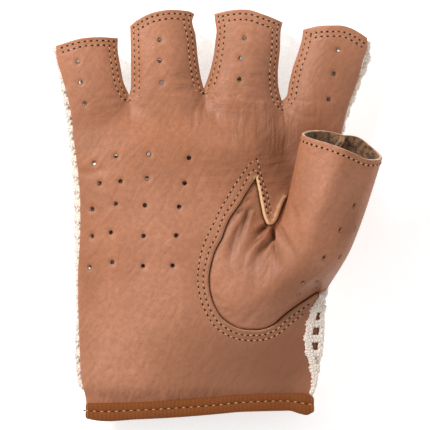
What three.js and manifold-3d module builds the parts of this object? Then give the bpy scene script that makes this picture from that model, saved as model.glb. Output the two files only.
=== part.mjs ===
// A fingerless racing glove for the right hand, lying palm up on its crochet back. Millimetres, +Z up, fingertips
// towards +Y, thumb towards +X. The outer form is a palm and four fingers, hollow all the way; a leather shell takes
// the upper side, a crochet shell the lower side, and a tube of leather, the thumb, rises from the opening in the palm.
import * as THREE from "three";
import { mergeVertices } from "three/addons/utils/BufferGeometryUtils.js";
import Module from "manifold-3d";

const wasm = await Module();
wasm.setup();

// Driving sizes, in millimetres, with angles in degrees.
const palmLength = 134; // wrist edge to the notches between the fingers
const palmWidth = 110; // across the middle of the palm
const handDepth = 27.5; // crochet back to the highest part of the palm
const fingerDepth = 20.5; // crochet back to the top of a finger, at its base
const fingerLength = 34.5; // the notches to the tip of the longest finger
const leatherWall = 1.5;
const crochetWall = 2.2;
const seamGap = 0.3; // clearance between sewn pieces
const seamHeight = 4.6; // seam of leather and crochet above the widest line of the hand
const crochetWrap = 8.4; // how far the crochet comes round on to the palm below the thumb
const ventHoleWidth = 1.5;
const bindingHeight = 7.2; // visible height of the tape at the wrist
const bindingWall = 1.4;
const bindingTilt = 2.6; // degrees by which the wrist edge climbs towards the thumb side
const thumbLength = 61; // along the thumb opening's middle to the mouth, seen from above
const thumbWidth = 34.4; // long way across the mouth
const thumbDepth = 23; // short way across the mouth
const thumbMouthSlant = 7; // degrees by which the mouth is cut back on its upper side
const thumbOpeningLength = 63; // from the apex of the opening in the palm to its lowest point
const thumbOpeningWidth = 52;
const thumbLap = 3; // how far the thumb's leather runs on under the palm
const meshGapWidth = 4.6; // openings in the crochet
const meshGapLength = 5.4;
const meshRows = 8; // rows of openings over the back of the hand
const meshColumns = 10; // openings round the hand in a row
const wrapGapWidth = 2.4; // openings where the crochet wraps on to the palm
const wrapGapLength = 3.6;
const wrapGapPitch = 6.3;

// Cross sections of the hand from the wrist edge to the notches. Along is a share of the palm's length; little and
// thumb are the distances to the two sides as shares of half the palm's width; top and middle are heights as shares of
// the hand's depth; lift is the height of the underside over the table as a share of the tape's stand-off, and tilt is
// the section's share of the wrist edge's tilt.
const palmSections = [
  { along: -0.05, little: 0.87, thumb: 0.81, top: 0.78, middle: 0.42, lift: 1, tilt: 1 },
  { along: 0.057, little: 0.875, thumb: 0.815, top: 0.78, middle: 0.42, lift: 1, tilt: 1 },
  { along: 0.085, little: 0.935, thumb: 0.84, top: 0.82, middle: 0.43, lift: 0.7, tilt: 0.8 },
  { along: 0.16, little: 0.975, thumb: 0.875, top: 0.89, middle: 0.45, lift: 0.15, tilt: 0.4 },
  { along: 0.32, little: 0.97, thumb: 0.907, top: 0.97, middle: 0.47, lift: 0, tilt: 0 },
  { along: 0.5, little: 0.984, thumb: 0.955, top: 1, middle: 0.48, lift: 0, tilt: 0 },
  { along: 0.69, little: 0.995, thumb: 0.995, top: 0.985, middle: 0.47, lift: 0, tilt: 0 },
  { along: 0.82, little: 1.02, thumb: 1.03, top: 0.92, middle: 0.44, lift: 0, tilt: 0 },
  { along: 0.91, little: 1.045, thumb: 1.085, top: 0.83, middle: 0.41, lift: 0, tilt: 0 },
  { along: 0.975, little: 1.08, thumb: 1.135, top: 0.755, middle: 0.4, lift: 0.1, tilt: 0 },
];

// The fingers. Near, far and arch are where the tip's cut is on the little-finger side, on the thumb side and in the
// middle, as shares of the longest finger, measured from the notches. Root and tip are the finger's two sides at the
// notches and at the tip, as shares of half the palm's width.
const fingers = [
  { name: "little", near: 0.595, far: 0.68, arch: 0.685, root: [-1.09, -0.56], tip: [-1.15, -0.647] },
  { name: "ring", near: 0.825, far: 0.955, arch: 0.985, root: [-0.585, 0.005], tip: [-0.556, -0.069] },
  { name: "middle", near: 0.955, far: 0.865, arch: 1, root: [-0.005, 0.605], tip: [0.084, 0.596] },
  { name: "index", near: 0.79, far: 0.67, arch: 0.81, root: [0.585, 1.155], tip: [0.747, 1.262] },
];
// Sections of a finger, along its arch: spread goes from root to tip, and narrow draws both sides in.
const fingerRows = [
  { along: -0.75, spread: 0, narrow: 0.14, depth: 0.86 },
  { along: 0, spread: 0, narrow: 0, depth: 1 },
  { along: 0.25, spread: 0.55, narrow: 0, depth: 1 },
  { along: 0.65, spread: 0.8, narrow: 0, depth: 0.98 },
  { along: 1.25, spread: 1.1, narrow: 0, depth: 0.93 },
];

// How far the crochet wraps on to the palm on the thumb side, as a share of its widest.
const wrapRows = [
  { along: 0.06, wrap: 0.12 },
  { along: 0.115, wrap: 0.26 },
  { along: 0.155, wrap: 0.55 },
  { along: 0.19, wrap: 0.76 },
  { along: 0.225, wrap: 0.94 },
  { along: 0.26, wrap: 1 },
  { along: 0.305, wrap: 0.92 },
  { along: 0.35, wrap: 0.78 },
  { along: 0.38, wrap: 0.58 },
  { along: 0.42, wrap: 0.3 },
];

// Cross sections of the thumb from inside the hand to its mouth. Along and aside place the middle of a section as
// shares of the thumb's length, measured from its root; up is its height as a share of the hand's depth; lean and rise
// are the direction of the thumb in degrees; wide and deep are shares of its mouth.
const thumbSections = [
  { along: -0.02, aside: 0.0, up: 0.35, lean: 48, rise: 24, wide: 1.12, deep: 1.1 },
  { along: 0.14, aside: 0.11, up: 0.62, lean: 42, rise: 24, wide: 1.13, deep: 1.14 },
  { along: 0.34, aside: 0.25, up: 0.88, lean: 30, rise: 22, wide: 1.04, deep: 1.1 },
  { along: 0.56, aside: 0.355, up: 1.1, lean: 21, rise: 16, wide: 0.92, deep: 0.96 },
  { along: 0.77, aside: 0.43, up: 1.2, lean: 18, rise: 12, wide: 0.95, deep: 0.96 },
  { along: 1.0, aside: 0.49, up: 1.29, lean: 17, rise: 12, wide: 1, deep: 1 },
];

// Outline of the thumb opening in the palm, clockwise from its apex: across as a share of its width from the little
// finger side, down as a share of its length from the apex. It runs out over the thumb side of the palm.
const openingOutline = [
  { across: 0.38, down: 0 },
  { across: 0.3, down: 0.1 },
  { across: 0.2, down: 0.23 },
  { across: 0.1, down: 0.39 },
  { across: 0.03, down: 0.54 },
  { across: 0, down: 0.67 },
  { across: 0.02, down: 0.79 },
  { across: 0.09, down: 0.9 },
  { across: 0.2, down: 0.97 },
  { across: 0.36, down: 1 },
  { across: 0.52, down: 0.96 },
  { across: 0.72, down: 0.84 },
  { across: 0.9, down: 0.73 },
  { across: 1.4, down: 0.6 },
  { across: 1.4, down: 0.1 },
  { across: 0.75, down: 0.13 },
  { across: 0.6, down: 0.16 },
  { across: 0.56, down: 0.26 },
  { across: 0.5, down: 0.31 },
  { across: 0.45, down: 0.29 },
  { across: 0.41, down: 0.13 },
];
const openingPlace = { across: 0.02, along: 0.735 }; // its little-finger side and its apex, shares of half width, length
const thumbRoot = { across: 0.48, down: 0.75 }; // where the thumb starts, shares of the opening

// Punched holes: columns across the palm and rows along it, as shares of half its width and of its length, and places
// along each finger. The rows bow a little, so every column has its own shift.
const palmHoleColumns = [
  { across: -0.83, shift: -0.004 },
  { across: -0.65, shift: 0.01 },
  { across: -0.43, shift: 0.005 },
  { across: -0.14, shift: 0 },
];
const palmHoleRows = [0.79, 0.725, 0.64, 0.555, 0.465];
const fingerHolePlaces = [0.03, 0.4, 0.74]; // shares of a finger's arch
const thumbHoleColumns = [
  { aside: 0.28, from: 0.32, to: 0.8 },
  { aside: 0.55, from: 0.3, to: 0.7 },
];
const thumbHolesInColumn = 4;
const meshEnds = { first: 0.13, last: 0.92 }; // first and last row of openings in the crochet, shares of the length
const fingerMeshPlaces = [0.18, 0.68]; // rows on the back of a finger, shares of its arch
const fingerMeshColumns = 3;

const rad = THREE.MathUtils.degToRad;
const standOff = bindingWall + seamGap; // of the tape over the hand's own surface
const farOut = palmLength + palmWidth; // beyond every piece, for cutting blocks
const sideFullness = 2.3; // roundness of the hand's sides
const fingerFullness = 2.1;
const backSag = 0.055 * handDepth; // the round of the back would reach this far under the table: it lies flat
const tipCutMargin = 0.12; // the blocks that cut a finger tip reach this share of its width past both sides
const handSides = 32; // facets round the hand and round a finger
const fingerSides = 16;
const thumbSides = 24;

const lerp = THREE.MathUtils.lerp;

// A row of a table at any place between its rows, with every numeric column blended.
function rowAt(rows, key, place) {
  let i = 0;
  while (i < rows.length - 2 && rows[i + 1][key] < place) i++;
  const share = THREE.MathUtils.clamp((place - rows[i][key]) / (rows[i + 1][key] - rows[i][key]), 0, 1);
  const blended = {};
  for (const column of Object.keys(rows[i])) blended[column] = lerp(rows[i][column], rows[i + 1][column], share);
  return blended;
}

// The hand's section at a distance y from the wrist edge, in millimetres.
function handAt(y) {
  const row = rowAt(palmSections, "along", y / palmLength);
  return {
    left: (-row.little * palmWidth) / 2,
    right: (row.thumb * palmWidth) / 2,
    top: row.top * handDepth,
    middle: row.middle * handDepth,
    lift: row.lift * standOff,
    slope: row.tilt * Math.tan(rad(bindingTilt)),
  };
}

// A closed manifold solid from a closed geometry.
function solidOf(geometry) {
  geometry.deleteAttribute("normal");
  geometry.deleteAttribute("uv");
  const merged = mergeVertices(geometry, 1e-4);
  return new wasm.Manifold(
    new wasm.Mesh({
      numProp: 3,
      vertProperties: merged.attributes.position.array,
      triVerts: new Uint32Array(merged.index.array),
    }),
  );
}

// A solid through rings with equal numbers of points, capped at both ends, or joined end to end when closed.
function loft(rings, closed = false) {
  const count = rings[0].length;
  const points = rings.flat(2);
  const triangles = [];
  const spans = closed ? rings.length : rings.length - 1;
  for (let r = 0; r < spans; r++) {
    const here = r * count;
    const next = ((r + 1) % rings.length) * count;
    for (let i = 0; i < count; i++) {
      const j = (i + 1) % count;
      triangles.push(here + i, here + j, next + j, here + i, next + j, next + i);
    }
  }
  if (!closed) {
    const last = (rings.length - 1) * count;
    for (let i = 1; i < count - 1; i++) {
      triangles.push(0, i + 1, i);
      triangles.push(last, last + i, last + i + 1);
    }
  }
  const geometry = new THREE.BufferGeometry();
  geometry.setAttribute("position", new THREE.Float32BufferAttribute(points, 3));
  geometry.setIndex(triangles);
  return solidOf(geometry);
}

// A block over a flat outline, from one height to another.
function prism(outline, from, to) {
  const shape = new THREE.Shape(outline.map(([x, y]) => new THREE.Vector2(x, y)));
  const geometry = new THREE.ExtrudeGeometry(shape, { depth: to - from, bevelEnabled: false });
  geometry.translate(0, 0, from);
  return solidOf(geometry);
}

// One ring of the hand or a finger at y: an oval with a flat underside, drawn in by inset on all sides.
function ovalRing(y, section, inset, fullness, sides) {
  const middleX = (section.left + section.right) / 2;
  const half = (section.right - section.left) / 2 - inset;
  const ring = [];
  for (let i = 0; i < sides; i++) {
    const turn = (2 * Math.PI * i) / sides;
    const across = Math.cos(turn);
    const height = Math.pow(Math.max(0, 1 - Math.pow(Math.abs(across), fullness)), 0.5);
    const up = section.middle + (section.top - section.middle - inset) * height;
    const down = section.middle - (section.middle - section.lift + backSag - inset) * height;
    const z = Math.sin(turn) >= 0 ? up : Math.max(section.lift + inset, down);
    const x = middleX + half * across;
    ring.push([x, y + x * section.slope, z]);
  }
  return ring;
}

// The palm, solid, drawn in by inset.
function palmForm(inset) {
  const rings = palmSections.map((row) => {
    const y = row.along * palmLength - (row === palmSections.at(-1) ? inset : 0);
    return ovalRing(y, handAt(row.along * palmLength), inset, sideFullness, handSides);
  });
  return loft(rings.reverse());
}

// The distance from the wrist edge of a share of a finger's arch.
function alongFinger(finger, share) {
  return palmLength + share * finger.arch * fingerLength;
}

// A finger's section at a share of its arch beyond the notches.
function fingerAt(finger, along) {
  const row = rowAt(fingerRows, "along", along);
  const left = (lerp(finger.root[0], finger.tip[0], row.spread) * palmWidth) / 2;
  const right = (lerp(finger.root[1], finger.tip[1], row.spread) * palmWidth) / 2;
  const draw = row.narrow * (right - left);
  const hand = handAt(alongFinger(finger, along));
  return {
    left: left + draw,
    right: right - draw,
    top: row.depth * fingerDepth,
    middle: hand.middle,
    lift: hand.lift,
    slope: 0,
  };
}

// One finger, solid, from inside the palm to past its tip.
function fingerForm(finger, inset) {
  const rings = fingerRows.map(({ along }) =>
    ovalRing(alongFinger(finger, along), fingerAt(finger, along), inset, fingerFullness, fingerSides),
  );
  return loft(rings.reverse());
}

function join(solids) {
  return solids.reduce((whole, solid) => whole.add(solid));
}

// Palm and fingers together, drawn in by inset.
function handForm(inset) {
  return join([palmForm(inset), ...fingers.map((finger) => fingerForm(finger, inset))]);
}

// Everything on the leather's side of its seam with the crochet, less a margin. The seam follows the middle of the
// hand, lies lower between the fingers, and leaves the crochet a strip of the palm below the thumb.
function leatherSide(margin) {
  const rings = [-0.1, ...palmSections.map((row) => row.along), 1.4].map((along) => {
    const y = along * palmLength;
    const seam = handAt(y).middle + seamHeight + margin;
    return [
      [-farOut, y, seam],
      [farOut, y, seam],
      [farOut, y, farOut],
      [-farOut, y, farOut],
    ];
  });
  const fingerMiddle = (finger) => (((finger.tip[0] + finger.tip[1]) / 2) * palmWidth) / 2;
  const innerLeft = fingerMiddle(fingers[0]) + margin;
  const innerRight = fingerMiddle(fingers.at(-1)) - margin;
  const between = prism(
    [
      [innerLeft, palmLength + margin],
      [innerRight, palmLength + margin],
      [innerRight, farOut],
      [innerLeft, farOut],
    ],
    handAt(palmLength).middle + margin,
    farOut,
  );
  return loft(rings.reverse()).add(between).subtract(wrapBlock(margin));
}

// The strip of the palm that the crochet covers, grown by margin.
function wrapBlock(margin) {
  const inner = wrapRows.map(({ along, wrap }) => {
    const y = along * palmLength;
    return [handAt(y).right - wrap * crochetWrap - margin, y];
  });
  const first = inner[0];
  const last = inner.at(-1);
  return prism([...inner, [last[0] + farOut, last[1]], [first[0] + farOut, first[1]]].reverse(), 0, farOut);
}

// Blocks past the cut finger tips, each with the arch of its tip.
function pastTips() {
  return join(
    fingers.map((finger) => {
      const left = (finger.tip[0] * palmWidth) / 2;
      const right = (finger.tip[1] * palmWidth) / 2;
      const near = palmLength + finger.near * fingerLength;
      const far = palmLength + finger.far * fingerLength;
      const curve = new THREE.QuadraticBezierCurve(
        new THREE.Vector2(left, near),
        new THREE.Vector2((left + right) / 2, 2 * alongFinger(finger, 1) - (near + far) / 2),
        new THREE.Vector2(right, far),
      );
      const arch = curve.getPoints(6).map((p) => [p.x, p.y]);
      const reach = tipCutMargin * (right - left);
      return prism(
        [
          [left - reach, near],
          ...arch,
          [right + reach, far],
          [right + reach, farOut],
          [left - reach, farOut],
        ],
        -farOut,
        farOut,
      );
    }),
  );
}

// The wrist edge: the tape's plane, a distance from the glove's end, as a block over everything beyond it.
function pastWrist(distance) {
  const slope = Math.tan(rad(bindingTilt));
  return prism(
    [
      [-farOut, -farOut],
      [farOut, -farOut],
      [farOut, distance + farOut * slope],
      [-farOut, distance - farOut * slope],
    ],
    -farOut,
    farOut,
  );
}

// The thumb opening, grown by lap on every side.
function openingBlock(lap) {
  const left = (openingPlace.across * palmWidth) / 2;
  const apex = openingPlace.along * palmLength;
  const growX = 1 + (2 * lap) / thumbOpeningWidth;
  const growY = 1 + (2 * lap) / thumbOpeningLength;
  const outline = openingOutline.map(({ across, down }) => [
    left + (0.5 + (across - 0.5) * growX) * thumbOpeningWidth,
    apex - (0.5 + (down - 0.5) * growY) * thumbOpeningLength,
  ]);
  return prism(outline.reverse(), 0, farOut);
}

// The middle, axes and half sizes of a section of the thumb.
function thumbFrame(row) {
  const startX = (openingPlace.across * palmWidth) / 2 + thumbRoot.across * thumbOpeningWidth;
  const startY = openingPlace.along * palmLength - thumbRoot.down * thumbOpeningLength;
  const lean = rad(row.lean);
  const rise = rad(row.rise);
  return {
    middle: new THREE.Vector3(startX + row.aside * thumbLength, startY + row.along * thumbLength, row.up * handDepth),
    axis: new THREE.Vector3(
      Math.sin(lean) * Math.cos(rise),
      Math.cos(lean) * Math.cos(rise),
      Math.sin(rise),
    ),
    side: new THREE.Vector3(Math.cos(lean), -Math.sin(lean), 0),
    over: new THREE.Vector3(-Math.sin(lean) * Math.sin(rise), -Math.cos(lean) * Math.sin(rise), Math.cos(rise)),
    wide: (row.wide * thumbWidth) / 2,
    deep: (row.deep * thumbDepth) / 2,
  };
}

// The thumb, solid, drawn in by inset, or pushed out where inset is negative; past runs it on beyond its mouth.
function thumbForm(inset, past) {
  const rings = thumbSections.map((row) => {
    const frame = thumbFrame(row);
    const isMouth = row === thumbSections.at(-1);
    const ring = [];
    for (let i = 0; i < thumbSides; i++) {
      const turn = (2 * Math.PI * i) / thumbSides;
      const slant = isMouth ? past - Math.sin(turn) * frame.deep * Math.tan(rad(thumbMouthSlant)) : 0;
      const p = frame.middle
        .clone()
        .addScaledVector(frame.side, Math.cos(turn) * (frame.wide - inset))
        .addScaledVector(frame.over, Math.sin(turn) * (frame.deep - inset))
        .addScaledVector(frame.axis, slant);
      ring.push([p.x, p.y, p.z]);
    }
    return ring;
  });
  return loft(rings.reverse());
}

// A six-sided punch standing at (x, y) between two heights.
function punch(x, y, from, to) {
  const geometry = new THREE.CylinderGeometry(ventHoleWidth / 2, ventHoleWidth / 2, to - from, 6);
  geometry.rotateX(Math.PI / 2);
  geometry.translate(x, y, (from + to) / 2);
  return solidOf(geometry);
}

function palmPunches() {
  const punches = [];
  for (const column of palmHoleColumns)
    for (const row of palmHoleRows) {
      const y = (row + column.shift) * palmLength;
      punches.push(punch((column.across * palmWidth) / 2, y, handAt(y).middle + seamHeight, farOut));
    }
  for (const finger of fingers)
    for (const place of fingerHolePlaces) {
      const y = alongFinger(finger, place);
      const section = fingerAt(finger, place);
      punches.push(punch((section.left + section.right) / 2, y, section.middle + seamHeight, farOut));
    }
  return join(punches);
}

// The thumb's holes go through its upper wall alone, on the side away from the palm.
function thumbPunches() {
  const punches = [];
  for (const column of thumbHoleColumns)
    for (let k = 0; k < thumbHolesInColumn; k++) {
      const place = lerp(column.from, column.to, k / (thumbHolesInColumn - 1));
      const frame = thumbFrame(rowAt(thumbSections, "along", place));
      const at = frame.middle.clone().addScaledVector(frame.side, column.aside * frame.wide);
      punches.push(punch(at.x, at.y, at.z, farOut));
    }
  return join(punches);
}

// Openings of the crochet. A row runs round the underside from seam to seam, and each opening is cut square to the
// surface there.
function meshCuts() {
  const cutter = new THREE.BoxGeometry(meshGapWidth, meshGapLength, 4 * crochetWall);
  const cuts = [];
  function cutRow(ring, count, y) {
    const under = ring.filter((p, i) => i >= ring.length / 2).concat([ring[0]]);
    const path = new THREE.CurvePath();
    for (let i = 0; i < under.length - 1; i++)
      path.add(new THREE.LineCurve3(new THREE.Vector3(...under[i]), new THREE.Vector3(...under[i + 1])));
    for (let k = 0; k < count; k++) {
      const share = (k + 0.5) / count;
      const at = path.getPointAt(share);
      const along = path.getTangentAt(share);
      const out = new THREE.Vector3().crossVectors(along, new THREE.Vector3(0, 1, 0)).normalize();
      const geometry = cutter.clone();
      geometry.applyMatrix4(new THREE.Matrix4().makeBasis(along, new THREE.Vector3(0, 1, 0), out));
      geometry.translate(at.x, y, at.z);
      cuts.push(solidOf(geometry));
    }
  }
  for (let r = 0; r < meshRows; r++) {
    const y = lerp(meshEnds.first, meshEnds.last, r / (meshRows - 1)) * palmLength;
    cutRow(ovalRing(y, { ...handAt(y), slope: 0 }, 0, sideFullness, handSides), meshColumns, y);
  }
  for (const finger of fingers)
    for (const place of fingerMeshPlaces) {
      const y = alongFinger(finger, place);
      cutRow(ovalRing(y, fingerAt(finger, place), 0, fingerFullness, fingerSides), fingerMeshColumns, y);
    }
  const wrapStart = wrapRows[2].along * palmLength;
  const wrapEnd = wrapRows.at(-2).along * palmLength;
  for (let y = wrapStart; y < wrapEnd; y += wrapGapPitch) {
    const hand = handAt(y);
    const wrap = rowAt(wrapRows, "along", y / palmLength).wrap * crochetWrap;
    const geometry = new THREE.BoxGeometry(wrapGapWidth, wrapGapLength, hand.top);
    geometry.translate(hand.right - wrap / 2, y, hand.middle + hand.top / 2); // through the upper side alone
    cuts.push(solidOf(geometry));
  }
  return join(cuts);
}

// The tape, folded over the wrist edge: a channel that runs round the wrist and takes the edges of both shells.
function bindingForm() {
  const slot = Math.max(leatherWall, crochetWall) + seamGap;
  const channel = [
    { out: standOff, y: bindingHeight },
    { out: standOff, y: 0 },
    { out: -slot - bindingWall, y: 0 },
    { out: -slot - bindingWall, y: bindingHeight },
    { out: -slot, y: bindingHeight },
    { out: -slot, y: bindingWall },
    { out: seamGap, y: bindingWall },
    { out: seamGap, y: bindingHeight },
  ];
  const wrist = handAt(0);
  const slope = Math.tan(rad(bindingTilt));
  const edges = channel.map(({ out, y }) =>
    ovalRing(y, wrist, -out, sideFullness, handSides).map(([x, , z]) => [x, y + x * slope, z]),
  );
  return loft(edges, true);
}

// Colour, roughness and sheen of each material, as seen in daylight.
const tanLeather = new THREE.MeshStandardMaterial({ color: 0xb87a5c, roughness: 0.55, metalness: 0 });
const creamCotton = new THREE.MeshStandardMaterial({ color: 0xe8ddd3, roughness: 0.95, metalness: 0 });
const brownTape = new THREE.MeshStandardMaterial({ color: 0x8c5a2c, roughness: 0.85, metalness: 0 });

function meshOf(name, solid, material) {
  const made = solid.getMesh();
  const geometry = new THREE.BufferGeometry();
  geometry.setAttribute("position", new THREE.Float32BufferAttribute(made.vertProperties, 3));
  geometry.setIndex(new THREE.Uint32BufferAttribute(made.triVerts, 1));
  const mesh = new THREE.Mesh(geometry, material);
  mesh.name = name;
  return mesh;
}

// The leather of the palm and finger fronts.
function makePalmLeather() {
  return handForm(0)
    .subtract(handForm(leatherWall))
    .intersect(leatherSide(seamGap / 2))
    .subtract(pastTips())
    .subtract(pastWrist(bindingWall + seamGap))
    .subtract(openingBlock(0))
    .subtract(thumbForm(-seamGap, 0))
    .subtract(palmPunches());
}

// The thumb: a patch that fills the opening from beneath, and the tube that grows out of it.
function makeThumbLeather() {
  const patch = palmForm(leatherWall + seamGap).intersect(openingBlock(thumbLap));
  return patch
    .add(thumbForm(0, 0))
    .subtract(palmForm(2 * leatherWall + seamGap))
    .subtract(thumbForm(leatherWall, thumbDepth / 2))
    .intersect(leatherSide(seamGap / 2))
    .subtract(thumbPunches());
}

function makeCrochetBack() {
  return handForm(0)
    .subtract(handForm(crochetWall))
    .subtract(leatherSide(-seamGap / 2))
    .subtract(pastTips())
    .subtract(pastWrist(bindingWall + seamGap))
    .subtract(meshCuts());
}

const glove = new THREE.Group();
glove.add(
  meshOf("palm_leather", makePalmLeather(), tanLeather),
  meshOf("thumb_leather", makeThumbLeather(), tanLeather),
  meshOf("crochet_back", makeCrochetBack(), creamCotton),
  meshOf("wrist_binding", bindingForm(), brownTape),
);

// The origin is the middle of the glove's box, at the surface that it lies on.
const box = new THREE.Box3().setFromObject(glove);
glove.position.set(-(box.min.x + box.max.x) / 2, -(box.min.y + box.max.y) / 2, -box.min.z);

export default glove;
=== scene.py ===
import math

import bpy
import numpy as np
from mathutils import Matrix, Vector
from mathutils.geometry import delaunay_2d_cdt
from mathutils.kdtree import KDTree


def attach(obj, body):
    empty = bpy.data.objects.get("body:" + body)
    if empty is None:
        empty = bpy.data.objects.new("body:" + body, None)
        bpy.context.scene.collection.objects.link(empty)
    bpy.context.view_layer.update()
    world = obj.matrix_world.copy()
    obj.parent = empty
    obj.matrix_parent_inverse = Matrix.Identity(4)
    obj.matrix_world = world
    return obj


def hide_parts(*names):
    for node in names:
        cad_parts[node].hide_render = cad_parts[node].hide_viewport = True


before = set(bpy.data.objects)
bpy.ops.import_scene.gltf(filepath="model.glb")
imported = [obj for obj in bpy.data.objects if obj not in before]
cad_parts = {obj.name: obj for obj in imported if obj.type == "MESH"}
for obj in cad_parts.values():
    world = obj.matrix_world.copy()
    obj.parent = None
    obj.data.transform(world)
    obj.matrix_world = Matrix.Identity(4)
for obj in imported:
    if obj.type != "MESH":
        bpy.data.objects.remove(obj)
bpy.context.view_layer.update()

# The palm is one piece of soft tan nappa, cut out for the thumb and split into four short open
# fingers. It is 1.2 mm thick with the suede side inwards, stretched over the front of the hand,
# and its edges are left raw. Sizes are in mm, from the palm's middle line and the wrist edge.

MIDDLE_LINE = 4.72
WRIST_EDGE = 83.21
LEATHER = 1.2
PALM_LEAN = 0.22
PALM_ROUNDNESS = 2.3
FINGER_ROUNDNESS = 2.1
FINGER_MIDDLE = 11.0
FINGER_SLACK = 0.35
MESH_STEP = 0.8
VENT_RADIUS = 0.8
TUCK_DEPTH = 1.7  # how deep one layer lies under the next where they are sewn

# Each row: along the hand, then its left and right sides, its highest, middle and lowest height.
HAND_ROWS = (
    (-8, -47.9, 44.6, 21.4, 11.6, 1.7),
    (7.6, -48.1, 44.8, 21.4, 11.6, 1.7),
    (11.4, -51.4, 46.2, 22.5, 11.8, 1.2),
    (21.4, -53.6, 48.1, 24.5, 12.4, 0.3),
    (42.9, -53.4, 49.9, 26.7, 12.9, 0),
    (67, -54.1, 52.5, 27.5, 13.2, 0),
    (92.5, -54.7, 54.7, 27.1, 12.9, 0),
    (109.9, -56.1, 56.7, 25.3, 12.1, 0),
    (121.9, -57.5, 59.7, 22.8, 11.3, 0),
    (130.7, -59.4, 62.4, 20.8, 11, 0.2),
)

# Each row: along the finger, then its left and right sides.
FINGER_SIDES = {
    "little": (
        (106.3, -55.8, -27.2),
        (120.7, -57.3, -28.8),
        (133.1, -59.6, -31.1),
        (138.5, -60.5, -32.8),
        (145.9, -62, -34.2),
        (153.7, -63.5, -35.5),
        (157.5, -64, -35.7),
    ),
    "ring": (
        (106.3, -32.9, 3.4),
        (120.7, -32.9, 2.6),
        (133.1, -31.7, 0.9),
        (138.5, -30.2, -0.6),
        (148, -30.4, -2.2),
        (158.3, -30.5, -3.3),
        (168.5, -30.7, -3.7),
    ),
    "middle": (
        (106.3, 0.5, 35.6),
        (118.7, -0.3, 34.7),
        (131, -0.5, 32.7),
        (135.2, 0.5, 31.4),
        (141.8, 2.4, 31),
        (152.5, 4.2, 31.9),
        (168.5, 4.5, 32.8),
    ),
    "index": (
        (106.3, 31.4, 56.6),
        (124.4, 31.8, 60.6),
        (131.9, 33.5, 63.5),
        (138.5, 35.3, 65.9),
        (147.6, 38, 69.6),
        (153.7, 40.2, 69.8),
        (161.9, 41.2, 69.2),
    ),
}

# The cut outline, clockwise from the wrist's left corner. Each run is smooth and ends in a corner.
OUTLINE = {
    "left": (
        (-48.6, 3), (-48.8, 6.4), (-50.7, 15.6), (-51.3, 27), (-51.8, 38.1), (-52.1, 49.7),
        (-52, 60.8), (-51.3, 72.4), (-51.3, 93), (-52.1, 101.7), (-53.6, 112.8),
        (-54.7, 123.1), (-56.4, 132.6), (-59.2, 142.2), (-61.2, 149.5), (-61.2, 153.6),
    ),
    "little tip": ((-61.2, 153.6), (-56.4, 155), (-51.3, 156.4), (-44.5, 157.1), (-35.6, 156.9)),
    "little right": ((-35.6, 156.9), (-35.7, 152.8), (-34.6, 145.2), (-33.1, 138), (-30.9, 133.2)),
    "ring left": ((-30.9, 133.2), (-30.3, 135.6), (-30.2, 140), (-30.3, 149.5), (-30.6, 162)),
    "ring tip": (
        (-30.6, 162), (-25.9, 165.2), (-21.8, 167), (-17.3, 168), (-13.5, 168.4),
        (-9, 168.2), (-5.4, 167.7), (-3.8, 166.8),
    ),
    "ring right": (
        (-3.8, 166.8), (-4.6, 164.9), (-3.5, 158.2), (-2.4, 147.9), (-1.2, 140.4), (-0.1, 136),
    ),
    "middle left": (
        (-0.1, 136), (1.4, 139.6), (3, 144.9), (4.3, 151.2), (4.8, 155.9), (5.2, 160.1),
        (4.8, 163), (4.3, 166.9),
    ),
    "middle tip": (
        (4.3, 166.9), (10.3, 168.1), (15.9, 168.5), (19.3, 168.2), (23.8, 166.8),
        (28.4, 165.2), (32.8, 163.4),
    ),
    "middle right": (
        (32.8, 163.4), (32.1, 160.9), (31.6, 152.4), (30.7, 141.7), (31.2, 134.9), (32.3, 130.9),
    ),
    "index left": (
        (32.3, 130.9), (33.7, 132), (35.4, 138.4), (37.4, 146.2), (39.1, 150.8),
        (40.8, 157.5), (41.1, 160.4),
    ),
    "index tip": (
        (41.1, 160.4), (47.5, 161.7), (52.7, 161.9), (57.8, 161.7), (61.1, 160.7),
        (64.4, 159), (67.7, 156.9),
    ),
    "index right": (
        (67.7, 156.9), (67.9, 154.7), (66, 147.9), (63.5, 138.4), (60.1, 129.3),
        (57.2, 117.9), (55.4, 109.9), (53.9, 100), (53.5, 91.3), (53.3, 87.2),
    ),
    "behind thumb": (
        (53.3, 87.2), (49.6, 89.6), (44, 92.8), (39, 93.8), (35.7, 92.8), (33.6, 90),
    ),
    "tongue": (
        (33.6, 90), (32.3, 87.1), (31.1, 84), (29.9, 81.2), (28.2, 79.6), (26.4, 79.5), (25.1, 81.7),
        (23.6, 87.7), (22.4, 94.2), (21.4, 98.9),
    ),
    "keyhole": (
        (21.4, 98.9), (17.4, 92.7), (14.4, 87.7), (10.8, 82.7), (8.9, 78.7), (7.4, 74.2),
        (4.9, 69.7), (3.6, 66.2), (2.6, 62.2), (1.9, 57.7), (2.1, 53.8), (3.4, 48.2),
        (5, 44.7), (6.9, 41.6), (10.3, 38.8), (15.3, 36.5), (19.9, 36), (24.4, 36.3),
        (29, 38.2), (32.9, 41.6), (38.6, 45.9), (43.2, 48.9), (46.8, 51.2),
    ),
    "under crochet": (
        (46.8, 51.2), (48, 49.4), (48.6, 46.4), (48.2, 41.4), (47.7, 35.6), (47.3, 29.9),
        (46.9, 23.7), (46.3, 17.5), (45, 10), (44, 6.2),
    ),
    "wrist": (
        (44, 6.2), (38.5, 7.4), (27.3, 7.4), (15.8, 6.8), (4.6, 5.7), (-10.6, 4.7),
        (-27.6, 3.7), (-48.6, 3),
    ),
}

# Where the crochet starts to cover the leather, from the thumb down to the wrist.
CROCHET_EDGE = (
    (52, 55.8), (48.2, 50.9), (45.3, 46.6), (43, 40.6), (41.7, 34.6), (41.5, 29.4),
    (42.6, 25.3), (43.8, 20.8), (44.8, 15.6), (45.1, 8.2), (45.3, 4.7),
)

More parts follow.
